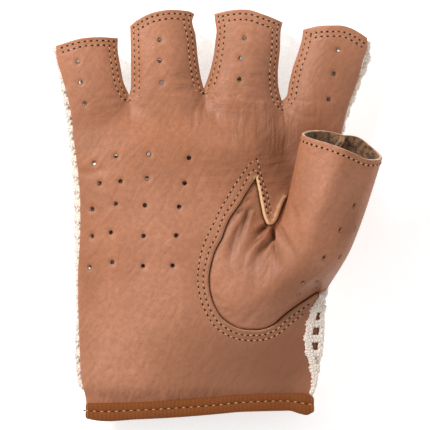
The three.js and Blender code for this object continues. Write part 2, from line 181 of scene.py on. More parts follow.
VENTS = (
    (-52.1, 146.9), (-50.9, 138.4), (-49.3, 129.7), (-18.2, 155.9), (-18.3, 147.3),
    (-17.5, 138.1), (16.8, 156.7), (15.2, 148.2), (14.7, 139.5), (55.5, 151.7),
    (53.7, 141.9), (51.6, 131.4), (-45.2, 104.9), (-36.2, 107.8), (-22.6, 108.5),
    (-6.1, 107), (-43, 96.6), (-34.3, 97.4), (-23.4, 98.6), (-7.8, 96.6), (-46, 85.9),
    (-36.2, 88.2), (-24.2, 87.5), (-10.1, 86.8), (-46.1, 74.8), (-38.3, 76.3),
    (-24.8, 74.9), (-11.3, 75.1), (-47.2, 62.1), (-37.8, 64.1), (-25, 62.6), (-12.8, 62.7),
)


def in_frame(points):
    """Points in mm on the glove, as metres in the frame."""
    return (np.asarray(points, float) - (MIDDLE_LINE, WRIST_EDGE, 0)) / 1000


def row_at(rows, where):
    """Reads a table, whose rows start with their place, smoothly at the places asked for."""
    table = np.array(rows, float)
    places = table[:, 0]
    slopes = np.gradient(table[:, 1:], places, axis=0)
    where = np.clip(np.asarray(where, float), places[0], places[-1])
    row = np.clip(np.searchsorted(places, where, "right") - 1, 0, len(places) - 2)
    span = (places[row + 1] - places[row])[..., None]
    t = (where - places[row])[..., None] / span
    return (
        table[row, 1:] * (2 * t**3 - 3 * t**2 + 1)
        + table[row + 1, 1:] * (3 * t**2 - 2 * t**3)
        + slopes[row] * span * (t**3 - 2 * t**2 + t)
        + slopes[row + 1] * span * (t**3 - t**2)
    )


def ease(value, start, end):
    """0 before start, 1 after end, and smooth between."""
    t = np.clip((value - start) / (end - start), 0, 1)
    return t * t * (3 - 2 * t)


def dome(across, low, high, roundness):
    """The height over half an oval, where across is -1 at one side and 1 at the other."""
    reach = np.clip(np.abs(across), 0, 1)
    return low + (high - low) * (1 - reach**roundness) ** (1 / roundness)


def hand_height(x, y):
    """The height of the hand's front over a point of the plan: a palm that runs into fingers."""
    left, right, top, middle, _ = np.moveaxis(row_at(HAND_ROWS, y), -1, 0)
    across = (2 * x - left - right) / (right - left)
    across = across + PALM_LEAN * (1 - np.clip(across, -1, 1) ** 2)
    palm = dome(across, middle, top, PALM_ROUNDNESS)
    palm = palm - 5.0 * np.exp(-(((x - 37) / 14) ** 2) - ((y - 109) / 12) ** 2)
    forms = [middle + (palm - middle) * (1 - 0.7 * ease(y, 112, 139))]
    for sides in FINGER_SIDES.values():
        left, right = np.moveaxis(row_at(sides, y), -1, 0)
        across = (2 * x - left - right) / (right - left + 2 * FINGER_SLACK)
        top = 20.5 - 1.2 * ease(y, 134, 168)
        rise = 0.75 + 0.25 * ease(y, 100, 130)
        high = FINGER_MIDDLE + (top - FINGER_MIDDLE) * rise
        forms.append(dome(across, FINGER_MIDDLE, high, FINGER_ROUNDNESS))
    return np.log(sum(np.exp(form) for form in forms))


def smooth_path(points, step):
    """Points about every step mm along a smooth curve through the points given."""
    points = np.array(points, float)
    along = np.append(0, np.cumsum(np.linalg.norm(np.diff(points, axis=0), axis=1)))
    count = max(2, round(along[-1] / step) + 1)
    return row_at(np.column_stack([along, points]), np.linspace(0, along[-1], count))


def beside(path, distance):
    """A flat path moved sideways, to the left of the way it runs."""
    ahead = np.gradient(path, axis=0)
    ahead = ahead / np.linalg.norm(ahead, axis=1)[:, None]
    return path + distance * np.column_stack([-ahead[:, 1], ahead[:, 0]])


def nearest(path, places):
    """The nearest point of a path to each place of the plan: how far it is, and its number."""
    tree = KDTree(len(path))
    for index, (x, y) in enumerate(path):
        tree.insert((x, y, 0), index)
    tree.balance()
    found = [tree.find((x, y, 0)) for x, y in places]
    return np.array([hit[2] for hit in found]), np.array([hit[1] for hit in found])


def distance_to(path, places):
    """How far each place of the plan is from the nearest point of a path."""
    return nearest(path, places)[0]


def apart(places, gap):
    """Leaves out each place that is nearer than gap to one before it."""
    kept = []
    cells = {}
    for x, y in places:
        column = int(x // gap)
        row = int(y // gap)
        near = (
            place
            for i in (column - 1, column, column + 1)
            for j in (row - 1, row, row + 1)
            for place in cells.get((i, j), ())
        )
        if all((x - a) ** 2 + (y - b) ** 2 > gap * gap for a, b in near):
            cells.setdefault((column, row), []).append((x, y))
            kept.append((x, y))
    return kept


def finger_lines(inset, notch_drop, tip_drop):
    """One row of stitches inside the fingers' edges; its runs meet in a V under each notch."""
    sewn = [run for name, run in OUTLINE.items() if name not in ("left", "index right")]
    fine = np.vstack([smooth_path(run, 0.2) for run in sewn])

    def inside(name, extra=0.0):
        line = beside(smooth_path(OUTLINE[name], 0.4), -inset - extra)
        return line[distance_to(fine, line) > inset - 0.2]

    tips = ("little tip", "ring tip", "middle tip", "index tip")
    lines = [inside(name, extra) for name, extra in zip(tips, tip_drop)]
    for down, up, drop in (
        ("little right", "ring left", notch_drop[0]),
        ("ring right", "middle left", notch_drop[1]),
        ("middle right", "index left", notch_drop[2]),
    ):
        notch = np.array(OUTLINE[up][0]) - (0.2, drop)
        lines.append(np.vstack([inside(down), notch, inside(up)]))
    return lines


outer_lines = finger_lines(1.5, (1.4, 1.4, 1.8), (0, 0.1, 0.3, 1.1))
inner_lines = finger_lines(3.4, (2.4, 2.2, 4.1), (0, 0.3, 0.8, 1.1))
keyhole_rows = [
    smooth_path(
        (
            (28.4, 83.2), (27.3, 86.8), (26.1, 92.2), (24.1, 98.2), (22.9, 103.2), (22.1, 105.9),
            (20.6, 105.6), (18.4, 103.7), (15.9, 100.2), (12.9, 96), (9.6, 90.5), (6.8, 85.7),
            (4.6, 81), (1.9, 75.7), (-0.3, 70.3), (-1.7, 64.7), (-2.4, 58.7), (-2.1, 53.2),
            (-0.8, 47.6), (1.4, 42.6), (4.2, 38.2), (8.2, 34.9), (14.2, 32.4), (20, 31.8),
            (26, 32.4), (31.4, 34.9), (35.6, 38.4), (40.8, 42.4),
        ),
        0.4,
    ),
    smooth_path(
        (
            (26.6, 81.9), (26.2, 84.6), (25.1, 88.9), (23.9, 94.3), (22.6, 98.9), (21.6, 101.7),
            (20.2, 101.5), (18, 98.6), (15.3, 93.9), (12.3, 88.9), (8.8, 83.8), (6.8, 79.5),
            (5.2, 74.9), (2.9, 70.6), (1.6, 66.8), (0.5, 62.4), (-0.2, 57.8), (0.1, 53.4),
            (1.5, 47.4), (3.2, 43.6), (5.4, 40.1), (9.2, 37), (14.8, 34.4), (20, 33.9),
            (25.2, 34.3), (30.2, 36.4), (34.3, 40), (39.8, 44.1), (43.2, 46.4),
        ),
        0.4,
    ),
]
palm_rows = outer_lines + inner_lines + keyhole_rows

# Folds pressed into the leather: the line, how deep and how wide.
PALM_FOLDS = (
    (((-15, 141.5), (-9, 141), (-3.5, 142.6)), 0.22, 0.7),
    (((-16, 138.6), (-10, 138.9), (-4.5, 139.6)), 0.2, 0.7),
    (((-11, 134.8), (-6, 136), (-2.4, 137.4)), 0.2, 0.8),
    (((-29.6, 129.4), (-30.4, 125), (-29.8, 120.5)), 0.25, 0.9),
    (((-33, 129.2), (-38, 127.8), (-43, 125.4)), 0.25, 0.8),
    (((-36, 131.6), (-40.5, 131.2), (-45, 129.4)), 0.2, 0.7),
    (((-1.4, 131.6), (-3.8, 126), (-4.2, 119)), 0.3, 0.9),
    (((0.8, 131), (-0.2, 125), (-2.2, 118)), 0.25, 0.8),
    (((3, 131.4), (5, 126), (5.6, 121)), 0.2, 0.8),
    (((31.8, 124.6), (29.6, 118), (29, 110)), 0.3, 0.9),
    (((33.4, 125), (34.4, 119), (33.2, 112)), 0.25, 0.8),
    (((35.5, 127.5), (40.5, 124.5), (46.5, 124)), 0.25, 0.8),
    (((37, 131.4), (42, 130.4), (47, 131.2)), 0.2, 0.7),
    (((20.6, 130.8), (25.5, 131.6), (30, 131.2)), 0.2, 0.7),
    (((19.6, 140.6), (24, 141.6), (28.4, 141.2)), 0.18, 0.7),
    (((20.5, 144.4), (24.5, 145), (28.8, 144.8)), 0.18, 0.7),
    (((-51.8, 101.2), (-47, 100.8), (-42.5, 102)), 0.5, 1.6),
    (((10.5, 107.6), (19, 106.9), (28, 108.4), (37, 107.4)), 0.18, 0.8),
    (((8.6, 103.8), (14, 104.9), (19, 106)), 0.15, 0.7),
    (((24.6, 103.8), (31, 102.6), (37.5, 103.4)), 0.2, 0.7),
    (((25.4, 99.6), (31, 97.8), (36.8, 98.4)), 0.22, 0.8),
    (((26.4, 95.2), (31, 93.4), (35.6, 94)), 0.2, 0.8),
)


def pressed(places, folds):
    """How deep the folds press each place of the plan in."""
    depth = np.zeros(len(places))
    for line, deep, wide in folds:
        path = smooth_path(line, 0.25)
        near = np.all(
            (places > path.min(axis=0) - 3 * wide) & (places < path.max(axis=0) + 3 * wide), axis=1
        )
        if near.any():
            away = distance_to(path, places[near])
            depth[near] += deep * np.exp(-((away / wide) ** 2))
    return depth


def palm_plan():
    """The palm's plan as places and triangles, finer at its edges, vents and stitch lines."""
    outline = np.vstack([smooth_path(run, MESH_STEP)[:-1] for run in OUTLINE.values()])
    fine = np.vstack([smooth_path(run, 0.15) for run in OUTLINE.values()])
    places = [outline]
    edges = [(i, (i + 1) % len(outline)) for i in range(len(outline))]
    turn = np.linspace(0, 2 * math.pi, 12, endpoint=False)
    circle = np.column_stack([np.cos(turn), np.sin(turn)])
    for centre in VENTS:
        start = sum(map(len, places))
        places.append(centre + VENT_RADIUS * circle)
        edges += [(start + i, start + (i + 1) % len(circle)) for i in range(len(circle))]
    fixed = np.vstack(places)
    rings = [centre + wide * circle for centre in VENTS for wide in (0.95, 1.3)]
    besides = []
    for inset in (0.22, 0.5, 0.85, 1.3):
        for run in OUTLINE.values():
            line = beside(smooth_path(run, MESH_STEP), -inset)
            besides.append(line[distance_to(fine, line) > inset - 0.05])
    seams = [row[::2] for row in palm_rows]
    seam_edge = smooth_path(CROCHET_EDGE, MESH_STEP)
    seams += [beside(seam_edge, offset) for offset in (-0.5, -0.1, 0.3, 0.7)]
    low = outline.min(axis=0)
    high = outline.max(axis=0)
    columns = np.arange(low[0], high[0], MESH_STEP)
    lines = np.arange(low[1], high[1], MESH_STEP * math.sqrt(3) / 2)
    grid = np.array(
        [(x + (j % 2) * MESH_STEP / 2, y) for j, y in enumerate(lines) for x in columns]
    )
    free = np.vstack(rings + besides + seams)
    away = distance_to(fine, free)
    vent_away = distance_to(np.array(VENTS), free)
    free = free[(away > 0.16) & (vent_away > VENT_RADIUS + 0.15)]
    near = distance_to(np.vstack([fine, free]), grid)
    vent_away = distance_to(np.array(VENTS), grid)
    grid = grid[(near > 0.55 * MESH_STEP) & (vent_away > VENT_RADIUS + 0.25)]
    free = apart(np.vstack([free, grid]).tolist(), 0.2)
    spots = [Vector(place) for place in fixed.tolist() + free]
    found = delaunay_2d_cdt(spots, edges, [], 1, 1e-5)
    places = np.array([tuple(place) for place in found[0]])
    faces = np.array([list(face) for face in found[2]])
    middles = places[faces].mean(axis=1)
    faces = faces[distance_to(np.array(VENTS), middles) > VENT_RADIUS * 0.95]
    sides = places[faces]
    turned = np.cross(sides[:, 1] - sides[:, 0], sides[:, 2] - sides[:, 0]) < 0
    faces[turned] = faces[turned][:, ::-1]
    used, faces = np.unique(faces, return_inverse=True)
    return places[used], faces.reshape(-1, 3)


def palm_relief(places):
    """The palm leather's height, and how much of each place is a cut, raw edge."""
    x, y = places.T
    height = hand_height(x, y)
    height = height - pressed(places, PALM_FOLDS)
    rows = distance_to(np.vstack(palm_rows), places)
    height = height - 0.22 * np.exp(-((rows / 0.55) ** 2))
    vents = distance_to(np.array(VENTS), places)
    height = height - 0.4 * np.exp(-(((vents - VENT_RADIUS) / 0.8) ** 2))
    tongue = distance_to(smooth_path(OUTLINE["tongue"], 0.1), places)
    keyhole = distance_to(smooth_path(OUTLINE["keyhole"], 0.1), places)
    others = distance_to(
        np.vstack([smooth_path(run, 0.15) for name, run in OUTLINE.items() if name != "wrist"]),
        places,
    )
    right_side = 0.5 * ease(x, 27, 29)
    raw = 1 - ease(tongue, 0.85 + right_side, 1.25 + right_side)
    raw = np.maximum(raw, 0.6 * (1 - ease(keyhole, 0.15, 0.4)))
    curl = 0.55 * np.exp(-(((tongue - 1.5) / 1.1) ** 2)) * (tongue < 6)
    height = height + curl - 0.3 * (1 - ease(tongue, 0, 0.5))
    height = height - 0.45 * (1 - ease(keyhole, 0, 0.6)) - 0.2 * (1 - ease(others, 0, 0.45))
    edge = smooth_path(CROCHET_EDGE, 0.2)
    tucked = (x > np.interp(y, edge[::-1, 1], edge[::-1, 0])) & (y < 55.8)
    covered = np.where(tucked, ease(distance_to(edge, places), 0, 1.2), 0)
    height = height - TUCK_DEPTH * covered
    gather = 0.1 * (1 - ease(y, 6, 11)) * np.cos(2 * math.pi * x / 1.9 + 1.5 * np.sin(x / 4))
    height = height - 1.1 * (1 - ease(y, 6, 13)) + gather * (1 - covered)
    return height, np.clip(raw, 0, 1)


def add_node(tree, kind, inputs=(), **settings):
    """Adds a node to a tree. Each input is a fixed value, or the output that feeds it."""
    node = tree.nodes.new(kind)
    for name, value in settings.items():
        setattr(node, name, value)
    for name, value in dict(inputs).items():
        socket = node.inputs[name]
        if isinstance(value, bpy.types.NodeSocket):
            tree.links.new(value, socket)
        else:
            socket.default_value = value
    return node


def new_group(name, takes, gives, kind="ShaderNodeTree"):
    """A node group with named inputs and outputs, given as name, kind of socket and value."""
    tree = bpy.data.node_groups.new(name, kind)
    for label, socket, value in takes:
        made = tree.interface.new_socket(label, in_out="INPUT", socket_type=socket)
        if value is not None:
            made.default_value = value
    for label, socket in gives:
        tree.interface.new_socket(label, in_out="OUTPUT", socket_type=socket)
    return tree, tree.nodes.new("NodeGroupInput").outputs, tree.nodes.new("NodeGroupOutput")


def placed_group(tree, group, inputs=()):
    """Puts a node group in a material and returns its outputs."""
    return add_node(tree, "ShaderNodeGroup", inputs, node_tree=group).outputs


def arithmetic(tree, operation, *values):
    """A math node's result; each value is a number or an output."""
    return add_node(
        tree, "ShaderNodeMath", dict(enumerate(values)), operation=operation
    ).outputs[0]


def blended(tree, share, first, second):
    """A mix of two colours."""
    colours = {0: share, 6: first, 7: second}
    return add_node(tree, "ShaderNodeMix", colours, data_type="RGBA").outputs[2]


def ranged(tree, value, start, end, low, high):
    """A value from start to end, as one from low to high."""
    steps = {0: value, 1: start, 2: end, 3: low, 4: high}
    return add_node(tree, "ShaderNodeMapRange", steps).outputs[0]


def shade(red, green, blue):
    """A colour as a screen shows it, from 0 to 255, as the light that Blender works in."""
    parts = [part / 255 for part in (red, green, blue)]
    linear = [p / 12.92 if p <= 0.04045 else ((p + 0.055) / 1.055) ** 2.4 for p in parts]
    return (*linear, 1.0)


def attribute(tree, name, output="Fac"):
    """Reads a value that the mesh carries."""
    return add_node(tree, "ShaderNodeAttribute", attribute_name=name).outputs[output]


def new_finish(name, **values):
    """A material with a Principled shader, whose fixed values are set on the shader itself."""
    made = bpy.data.materials.new(name)
    made.use_nodes = True
    tree = made.node_tree
    tree.nodes.clear()
    shader = add_node(tree, "ShaderNodeBsdfPrincipled")
    for label, value in values.items():
        shader.inputs[label.replace("_", " ")].default_value = value
    add_node(tree, "ShaderNodeOutputMaterial", {"Surface": shader.outputs[0]})
    return made, tree, shader


def roughened(tree, shader, tone, least, span):
    """A roughness that rises from its least with a texture's tone."""
    rough = arithmetic(tree, "ADD", least, arithmetic(tree, "MULTIPLY", tone, span))
    tree.links.new(rough, shader.inputs["Roughness"])


def bumped(tree, shader, height, distance):
    """Small relief that the mesh is too coarse for."""
    bump = add_node(tree, "ShaderNodeBump", {"Distance": distance, "Height": height})
    tree.links.new(bump.outputs[0], shader.inputs["Normal"])


# Grain, which every leather and suede here uses: fine pebbles for bump and a soft cloudy tone.
grain, given, out = new_group(
    "hide_grain",
    (("Pebbles", "NodeSocketFloat", 1500.0), ("Clouds", "NodeSocketFloat", 40.0)),
    (("Height", "NodeSocketFloat"), ("Tone", "NodeSocketFloat")),
)
place = add_node(grain, "ShaderNodeTexCoord").outputs["Object"]
pebbles = add_node(
    grain, "ShaderNodeTexVoronoi", {"Vector": place, "Scale": given["Pebbles"]}, feature="SMOOTH_F1"
)
pores = add_node(
    grain, "ShaderNodeTexNoise", {"Vector": place, "Scale": given["Pebbles"], "Detail": 3.0}
)
clouds = add_node(
    grain,
    "ShaderNodeTexNoise",
    {"Vector": place, "Scale": given["Clouds"], "Detail": 4.0, "Roughness": 0.62},
)
raised = arithmetic(grain, "MULTIPLY", pebbles.outputs["Distance"], -0.7)
raised = arithmetic(grain, "ADD", raised, pores.outputs[0])
grain.links.new(raised, out.inputs["Height"])
grain.links.new(clouds.outputs[0], out.inputs["Tone"])

# Fine creasing: hair lines that run mostly one way, where the mesh says that the hide is creased. Its
# height output is relief; its other output, 1 on each line, is painted shade along the lines.
creasing, given, out = new_group(
    "hide_creasing",
    (
        ("Stretch", "NodeSocketVector", (1.0, 1.0, 1.0)),
        ("Turn", "NodeSocketFloat", 0.0),
        ("Scale", "NodeSocketFloat", 500.0),
        ("Mask", "NodeSocketFloat", 1.0),
    ),
    (("Height", "NodeSocketFloat"), ("Line", "NodeSocketFloat")),
)
place = add_node(creasing, "ShaderNodeTexCoord").outputs["Object"]
turned = add_node(
    creasing, "ShaderNodeVectorRotate", {"Vector": place, "Angle": given["Turn"]},
    rotation_type="Z_AXIS",
)
wander = add_node(creasing, "ShaderNodeTexNoise", {"Vector": turned.outputs[0], "Scale": 60.0})
bend = add_node(
    creasing, "ShaderNodeVectorMath", {0: wander.outputs["Color"], 1: (0.004, 0.004, 0.004)},
    operation="MULTIPLY",
)
moved = add_node(creasing, "ShaderNodeVectorMath", {0: turned.outputs[0], 1: bend.outputs[0]})
pulled = add_node(
    creasing, "ShaderNodeVectorMath", {0: moved.outputs[0], 1: given["Stretch"]},
    operation="MULTIPLY",
)
hairs = add_node(
    creasing,
    "ShaderNodeTexNoise",
    {"Vector": pulled.outputs[0], "Scale": given["Scale"], "Detail": 2.0, "Roughness": 0.45},
)
ridge = arithmetic(creasing, "SUBTRACT", hairs.outputs[0], 0.5)
ridge = arithmetic(creasing, "ABSOLUTE", ridge)
ridge = arithmetic(creasing, "MULTIPLY", ridge, 4.0)
ridge = arithmetic(creasing, "MINIMUM", ridge, 1.0)
line = arithmetic(creasing, "SUBTRACT", 1.0, ridge)
line = arithmetic(creasing, "MULTIPLY", line, given["Mask"])
creasing.links.new(line, out.inputs["Line"])
ridge = arithmetic(creasing, "MULTIPLY", ridge, given["Mask"])
creasing.links.new(ridge, out.inputs["Height"])


def nappa(name, dark, middle, light):
    """Tan nappa: cloudy dye, satin sheen, fine grain and hair creases where the mesh has them, with
    painted light and painted shade, also along the crease lines.
    """
    made, tree, shader = new_finish(name, IOR=1.45, Specular_IOR_Level=0.4)
    skin = placed_group(tree, grain, {"Pebbles": 1300.0, "Clouds": 38.0})
    broad = placed_group(tree, grain, {"Pebbles": 600.0, "Clouds": 9.0})
    colour = blended(tree, ranged(tree, skin["Tone"], 0.3, 0.62, 0.55, 1.0), dark, middle)
    colour = blended(tree, ranged(tree, broad["Tone"], 0.42, 0.66, 0.0, 0.85), colour, light)
    # Painted light: lighter where the mesh marks the leather as lit.
    colour = blended(tree, attribute(tree, "painted_light"), colour, light)
    # Painted shade: darker where the mesh marks the leather as turned from the light.
    colour = blended(tree, attribute(tree, "painted_shade"), colour, dark)
    mottle = placed_group(tree, grain, {"Pebbles": 900.0, "Clouds": 520.0})
    colour = blended(tree, ranged(tree, mottle["Tone"], 0.36, 0.64, 0.3, 0.0), colour, dark)
    across = placed_group(
        tree, creasing,
        {"Stretch": (0.16, 1.0, 0.4), "Scale": 260.0, "Mask": attribute(tree, "creased_across")},
    )
    down = placed_group(
        tree, creasing,
        {"Stretch": (1.0, 0.18, 0.4), "Scale": 260.0, "Mask": attribute(tree, "creased_down")},
    )
    slant = placed_group(
        tree, creasing,
        {"Stretch": (1.0, 0.3, 0.6), "Turn": 0.6, "Scale": 210.0, "Mask": 0.45},
    )
    lines = arithmetic(tree, "ADD", across["Line"], down["Line"])
    lines = arithmetic(tree, "ADD", lines, arithmetic(tree, "MULTIPLY", slant["Line"], 0.4))
    # Painted shade along the crease lines.
    colour = blended(tree, arithmetic(tree, "MULTIPLY", lines, 0.5), colour, dark)
    colour = blended(tree, attribute(tree, "raw"), colour, shade(234, 184, 138))
    # Painted shade in hollows: vents, folds and crevices, where the mesh marks them.
    colour = blended(tree, attribute(tree, "painted_crevice_shade"), colour, shade(70, 42, 26))
    tree.links.new(colour, shader.inputs["Base Color"])
    gloss = ranged(tree, skin["Tone"], 0.3, 0.7, 0.56, 0.44)
    gloss = arithmetic(tree, "MAXIMUM", gloss, attribute(tree, "raw"))
    tree.links.new(gloss, shader.inputs["Roughness"])
    folds = arithmetic(tree, "ADD", across["Height"], down["Height"])
    folds = arithmetic(tree, "ADD", folds, slant["Height"])
    coarse = add_node(tree, "ShaderNodeBump", {"Distance": 0.0004, "Height": folds})
    fine = add_node(
        tree, "ShaderNodeBump",
        {"Strength": 0.9, "Distance": 0.0001, "Height": skin["Height"], "Normal": coarse.outputs[0]},
    )
    tree.links.new(fine.outputs[0], shader.inputs["Normal"])
    return made


def suede(name, dark, light, fuzz):
    """The flesh side or a cut edge of the hide: matt, napped and uneven in tone."""
    made, tree, shader = new_finish(name, Sheen_Weight=0.3, Sheen_Roughness=0.6)
    nap = placed_group(tree, grain, {"Pebbles": 1600.0, "Clouds": 520.0})
    share = ranged(tree, nap["Tone"], 0.4, 0.6, 0.0, 1.0)
    tree.links.new(blended(tree, share, dark, light), shader.inputs["Base Color"])
    roughened(tree, shader, nap["Tone"], 0.82, 0.15)
    bumped(tree, shader, nap["Height"], fuzz)
    return made


tan_nappa = nappa(
    "tan_nappa", shade(136, 85, 57), shade(185, 119, 82), shade(211, 147, 117)
)
brown_suede = suede("brown_suede", shade(62, 38, 18), shade(142, 98, 56), 0.0004)
raw_edge = suede("raw_edge", shade(176, 124, 84), shade(222, 174, 130), 0.00012)


def new_piece(name, points, faces, values, finishes):
    """A mesh piece in the frame, from points in mm, with what its material reads at each point."""
    mesh = bpy.data.meshes.new(name)
    mesh.from_pydata(in_frame(points).tolist(), [], faces)
    for label, numbers in values.items():
        held = mesh.attributes.new(label, "FLOAT", "POINT")
        held.data.foreach_set("value", np.asarray(numbers, np.float32))
    mesh.shade_smooth()
    for finish in finishes:
        mesh.materials.append(finish)
    made = bpy.data.objects.new(name, mesh)
    bpy.context.scene.collection.objects.link(made)
    return made


def walled(piece, thickness):
    """Gives a leather skin its thickness inwards, with suede inside and a raw edge round it."""
    wall = piece.modifiers.new("wall", "SOLIDIFY")
    wall.thickness = thickness / 1000
    wall.offset = -1
    wall.material_offset = 1
    wall.material_offset_rim = 2


def blot(places, x, y, wide, high):
    """A soft oval patch over the plan."""
    return np.exp(-(((places[:, 0] - x) / wide) ** 2) - ((places[:, 1] - y) / high) ** 2)


palm_places, palm_faces = palm_plan()
palm_high, palm_raw = palm_relief(palm_places)
vent_rim = distance_to(np.array(VENTS), palm_places)
palm_leather = new_piece(
    "palm_skin",
    np.column_stack([palm_places, palm_high]),
    palm_faces.tolist(),
    {
        "raw": palm_raw,
        # Painted shade inside each vent's rim.
        "painted_crevice_shade": 0.75 * (1 - ease(vent_rim, VENT_RADIUS, VENT_RADIUS + 0.3)),
        "creased_across": np.clip(
            1.2 * blot(palm_places, 24, 101, 22, 9)
            + 0.8 * blot(palm_places, -8, 140, 9, 7)
            + 0.6 * blot(palm_places, 22, 141, 10, 9)
            + 0.5 * blot(palm_places, 12, 130, 20, 8)
            + 0.4 * blot(palm_places, -40, 128, 12, 8),
            0, 1,
        ),
        "creased_down": np.clip(
            1.1 * blot(palm_places, 26, 120, 16, 12)
            + 0.5 * blot(palm_places, -2, 124, 8, 8)
            + 0.4 * blot(palm_places, 44, 128, 10, 10)
            + 0.7 * blot(palm_places, -8, 8, 46, 6),
            0, 1,
        ),
        # Painted light where the palm is lit, mostly on its left half.
        "painted_light": np.clip(
            0.5 * blot(palm_places, -20, 84, 18, 18)
            + 0.6 * blot(palm_places, -18, 50, 18, 18)
            + 0.7 * blot(palm_places, -36, 18, 16, 14)
            + 0.4 * blot(palm_places, 5, 80, 5, 14)
            + 0.3 * blot(palm_places, -50, 142, 6, 12),
            0, 1,
        ),
        # Painted shade where the palm turns from the light: beside the thumb, at the lower right and
        # along the sides.
        "painted_shade": np.clip(
            0.9 * blot(palm_places, 37, 104, 13, 18)
            + 0.15 * blot(palm_places, 16, 112, 22, 22)
            + 0.92 * blot(palm_places, 38, 26, 24, 32)
            + 0.6 * blot(palm_places, 4, 20, 24, 24)
            + 0.3 * blot(palm_places, -52, 70, 7, 80)
            + 0.35 * blot(palm_places, -7, 148, 6, 14)
            + 0.5 * blot(palm_places, 26, 144, 7, 14)
            + 0.45 * blot(palm_places, 54, 142, 14, 18),
            0, 0.95,
        ),
    },
    (tan_nappa, brown_suede, raw_edge),
)
walled(palm_leather, LEATHER)
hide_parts("palm_leather")
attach(palm_leather, "root")

# The thumb is a second piece of the same nappa, let into the palm's keyhole from below. It is
# gathered round the tongue, bends up into a tube that leans out over the palm, and is sewn to
# the crochet along its outer side. Its mouth is stitched once round.

THUMB_COLUMNS = 208
HEM_LINES = 5
ROOT_LINES = 64
TUBE_LINES = 56
MOUTH_CENTRE = (56.6, 111.8, 35.4)
MOUTH_WIDE = 17.2
MOUTH_DEEP = 11.3
THUMB_LEAN = 17
THUMB_RISE = 12
MOUTH_SLANT = 3.5
MOUTH_BOW = 2.0
THUMB_LEATHER = 1.3
THUMB_VENT_RADIUS = 0.66

# Each row: the turn round the thumb in degrees, a place in the plan, how far below the palm.
THUMB_ROOT = (
    (0, 54.5, 60.8, 0),
    (20, 50.8, 52.6, 1),
    (40, 43, 46, 2.2),
    (60, 34.7, 39.4, 2.4),
    (80, 24, 33.6, 2.4),
    (100, 14.1, 34, 2.4),
    (120, 4.2, 41, 2.4),
    (140, 0.1, 51.7, 2.4),
    (160, -0.3, 60.8, 2.4),
    (180, 2.6, 71.9, 2.4),
    (200, 10, 86, 2.4),
    (212, 15.3, 94.6, 2.4),
    (222, 20.3, 101, 2.6),
    (235, 26.5, 99, 2.8),
    (250, 33, 98, 2.8),
    (270, 41, 97, 2.6),
    (290, 48.8, 93.4, 2),
    (305, 53.2, 88.6, 0.8),
    (320, 56.5, 82.5, 0),
    (340, 57.4, 73.2, 0),
)

# Where the root bends up into the tube: the turn, a place, how freely the hide runs over it.
THUMB_NECK = (
    (0, 61, 71.5, 24, 0.9),
    (30, 57.5, 66, 30.5, 1),
    (60, 50.5, 64.5, 35, 1),
    (90, 42.5, 66, 36.5, 1),
    (120, 36, 69.5, 34.5, 0.9),
    (150, 32, 73.5, 30.5, 0.7),
    (180, 29.8, 76.3, 26.5, 0.45),
    (200, 29.6, 78.2, 23, 0.3),
    (215, 31, 81.3, 22, 0.3),
    (235, 33.4, 85.8, 21.6, 0.3),
    (250, 36.5, 88.3, 20.8, 0.3),
    (270, 42.5, 88.6, 19.2, 0.35),
    (290, 48.5, 87, 17.6, 0.4),
    (305, 53, 84.5, 16.2, 0.5),
    (320, 57, 81.5, 16.5, 0.6),
    (340, 60, 77, 19, 0.8),
)

THUMB_VENTS = (
    (61.3, 87.3), (55.6, 77.1), (49.1, 65.7), (40.5, 55.7), (62.1, 77.7), (55.6, 66.2),
    (46.1, 55.9), (45.6, 53.2), (38.6, 50.7),
)

# Folds from the tongue's tip over the thumb's root: the line, how deep it starts, how wide.
THUMB_FOLDS = (
    (((26.6, 79.2), (25.4, 78.6), (23.3, 76.8), (21.2, 74.8), (19, 72.8)), 2.1, 0.9),
    (((29, 78.4), (28.1, 74.9), (25.7, 71.5), (22.9, 68.8), (21.3, 65.4), (20.2, 61)), 2.8, 0.9),
    (((29.4, 78.6), (29, 73.9), (29.5, 69.2), (30.4, 65.9), (32.6, 59.6)), 1.2, 0.8),
    (((30.6, 79.4), (32, 77.4), (33.8, 73.4), (36.6, 69.2), (39.6, 63.6)), 0.9, 0.8),
    (((18.6, 85.6), (16.7, 80.1), (14.8, 75.3), (12.9, 71.5), (12.2, 65.4)), 1.5, 1.0),
    (((14.8, 80.4), (12.4, 74), (11, 68.2), (10.5, 63.5), (11.6, 56.4)), 0.9, 1.0),
    (((13.4, 84.4), (16.7, 85.5), (18.6, 85.2), (21, 86.2), (22.6, 85.2)), 1.1, 0.6),
    (((17, 89.2), (19.6, 90.2), (22.2, 89)), 0.8, 0.55),
    (((18.4, 93), (21.2, 93.9)), 0.7, 0.5),
    (((24.4, 75), (19.6, 71.4), (17, 66), (16.4, 60)), 0.9, 0.9),
    (((3.4, 50.8), (6.4, 48.8), (9.4, 46.6)), 0.5, 0.8),
    (((6.4, 45), (9.4, 44.2), (12.6, 44.8)), 0.5, 0.7),
    (((10.4, 41), (13, 42), (15.4, 44)), 0.45, 0.7),
    (((16, 38.4), (18.2, 41), (22, 45.6), (29, 50.6)), 0.4, 1.1),
    (((56.2, 101.6), (59.4, 98.4), (61.6, 94.6)), 0.3, 0.8),
    (((36.6, 88), (38.4, 81), (40.6, 73), (43, 66)), 0.35, 1.4),
)

# The soft ridge down the thumb's front: its line, how high it stands and how wide it is.
THUMB_CREST = (
    (58, 113), (56.2, 108.3), (52.6, 99), (49.2, 90.5), (44.6, 78.5), (41.3, 68), (35.6, 60.6),
    (26.5, 52.6),
)
CREST_HEIGHT = 1.5
CREST_WIDTH = 4.6


def ring_at(rows, turn):
    """Reads a table that goes once round, in degrees."""
    table = np.array(rows, float)
    before = table - np.eye(1, table.shape[1]) * 360
    after = table + np.eye(1, table.shape[1]) * 360
    return row_at(np.vstack([before, table, after]), turn)


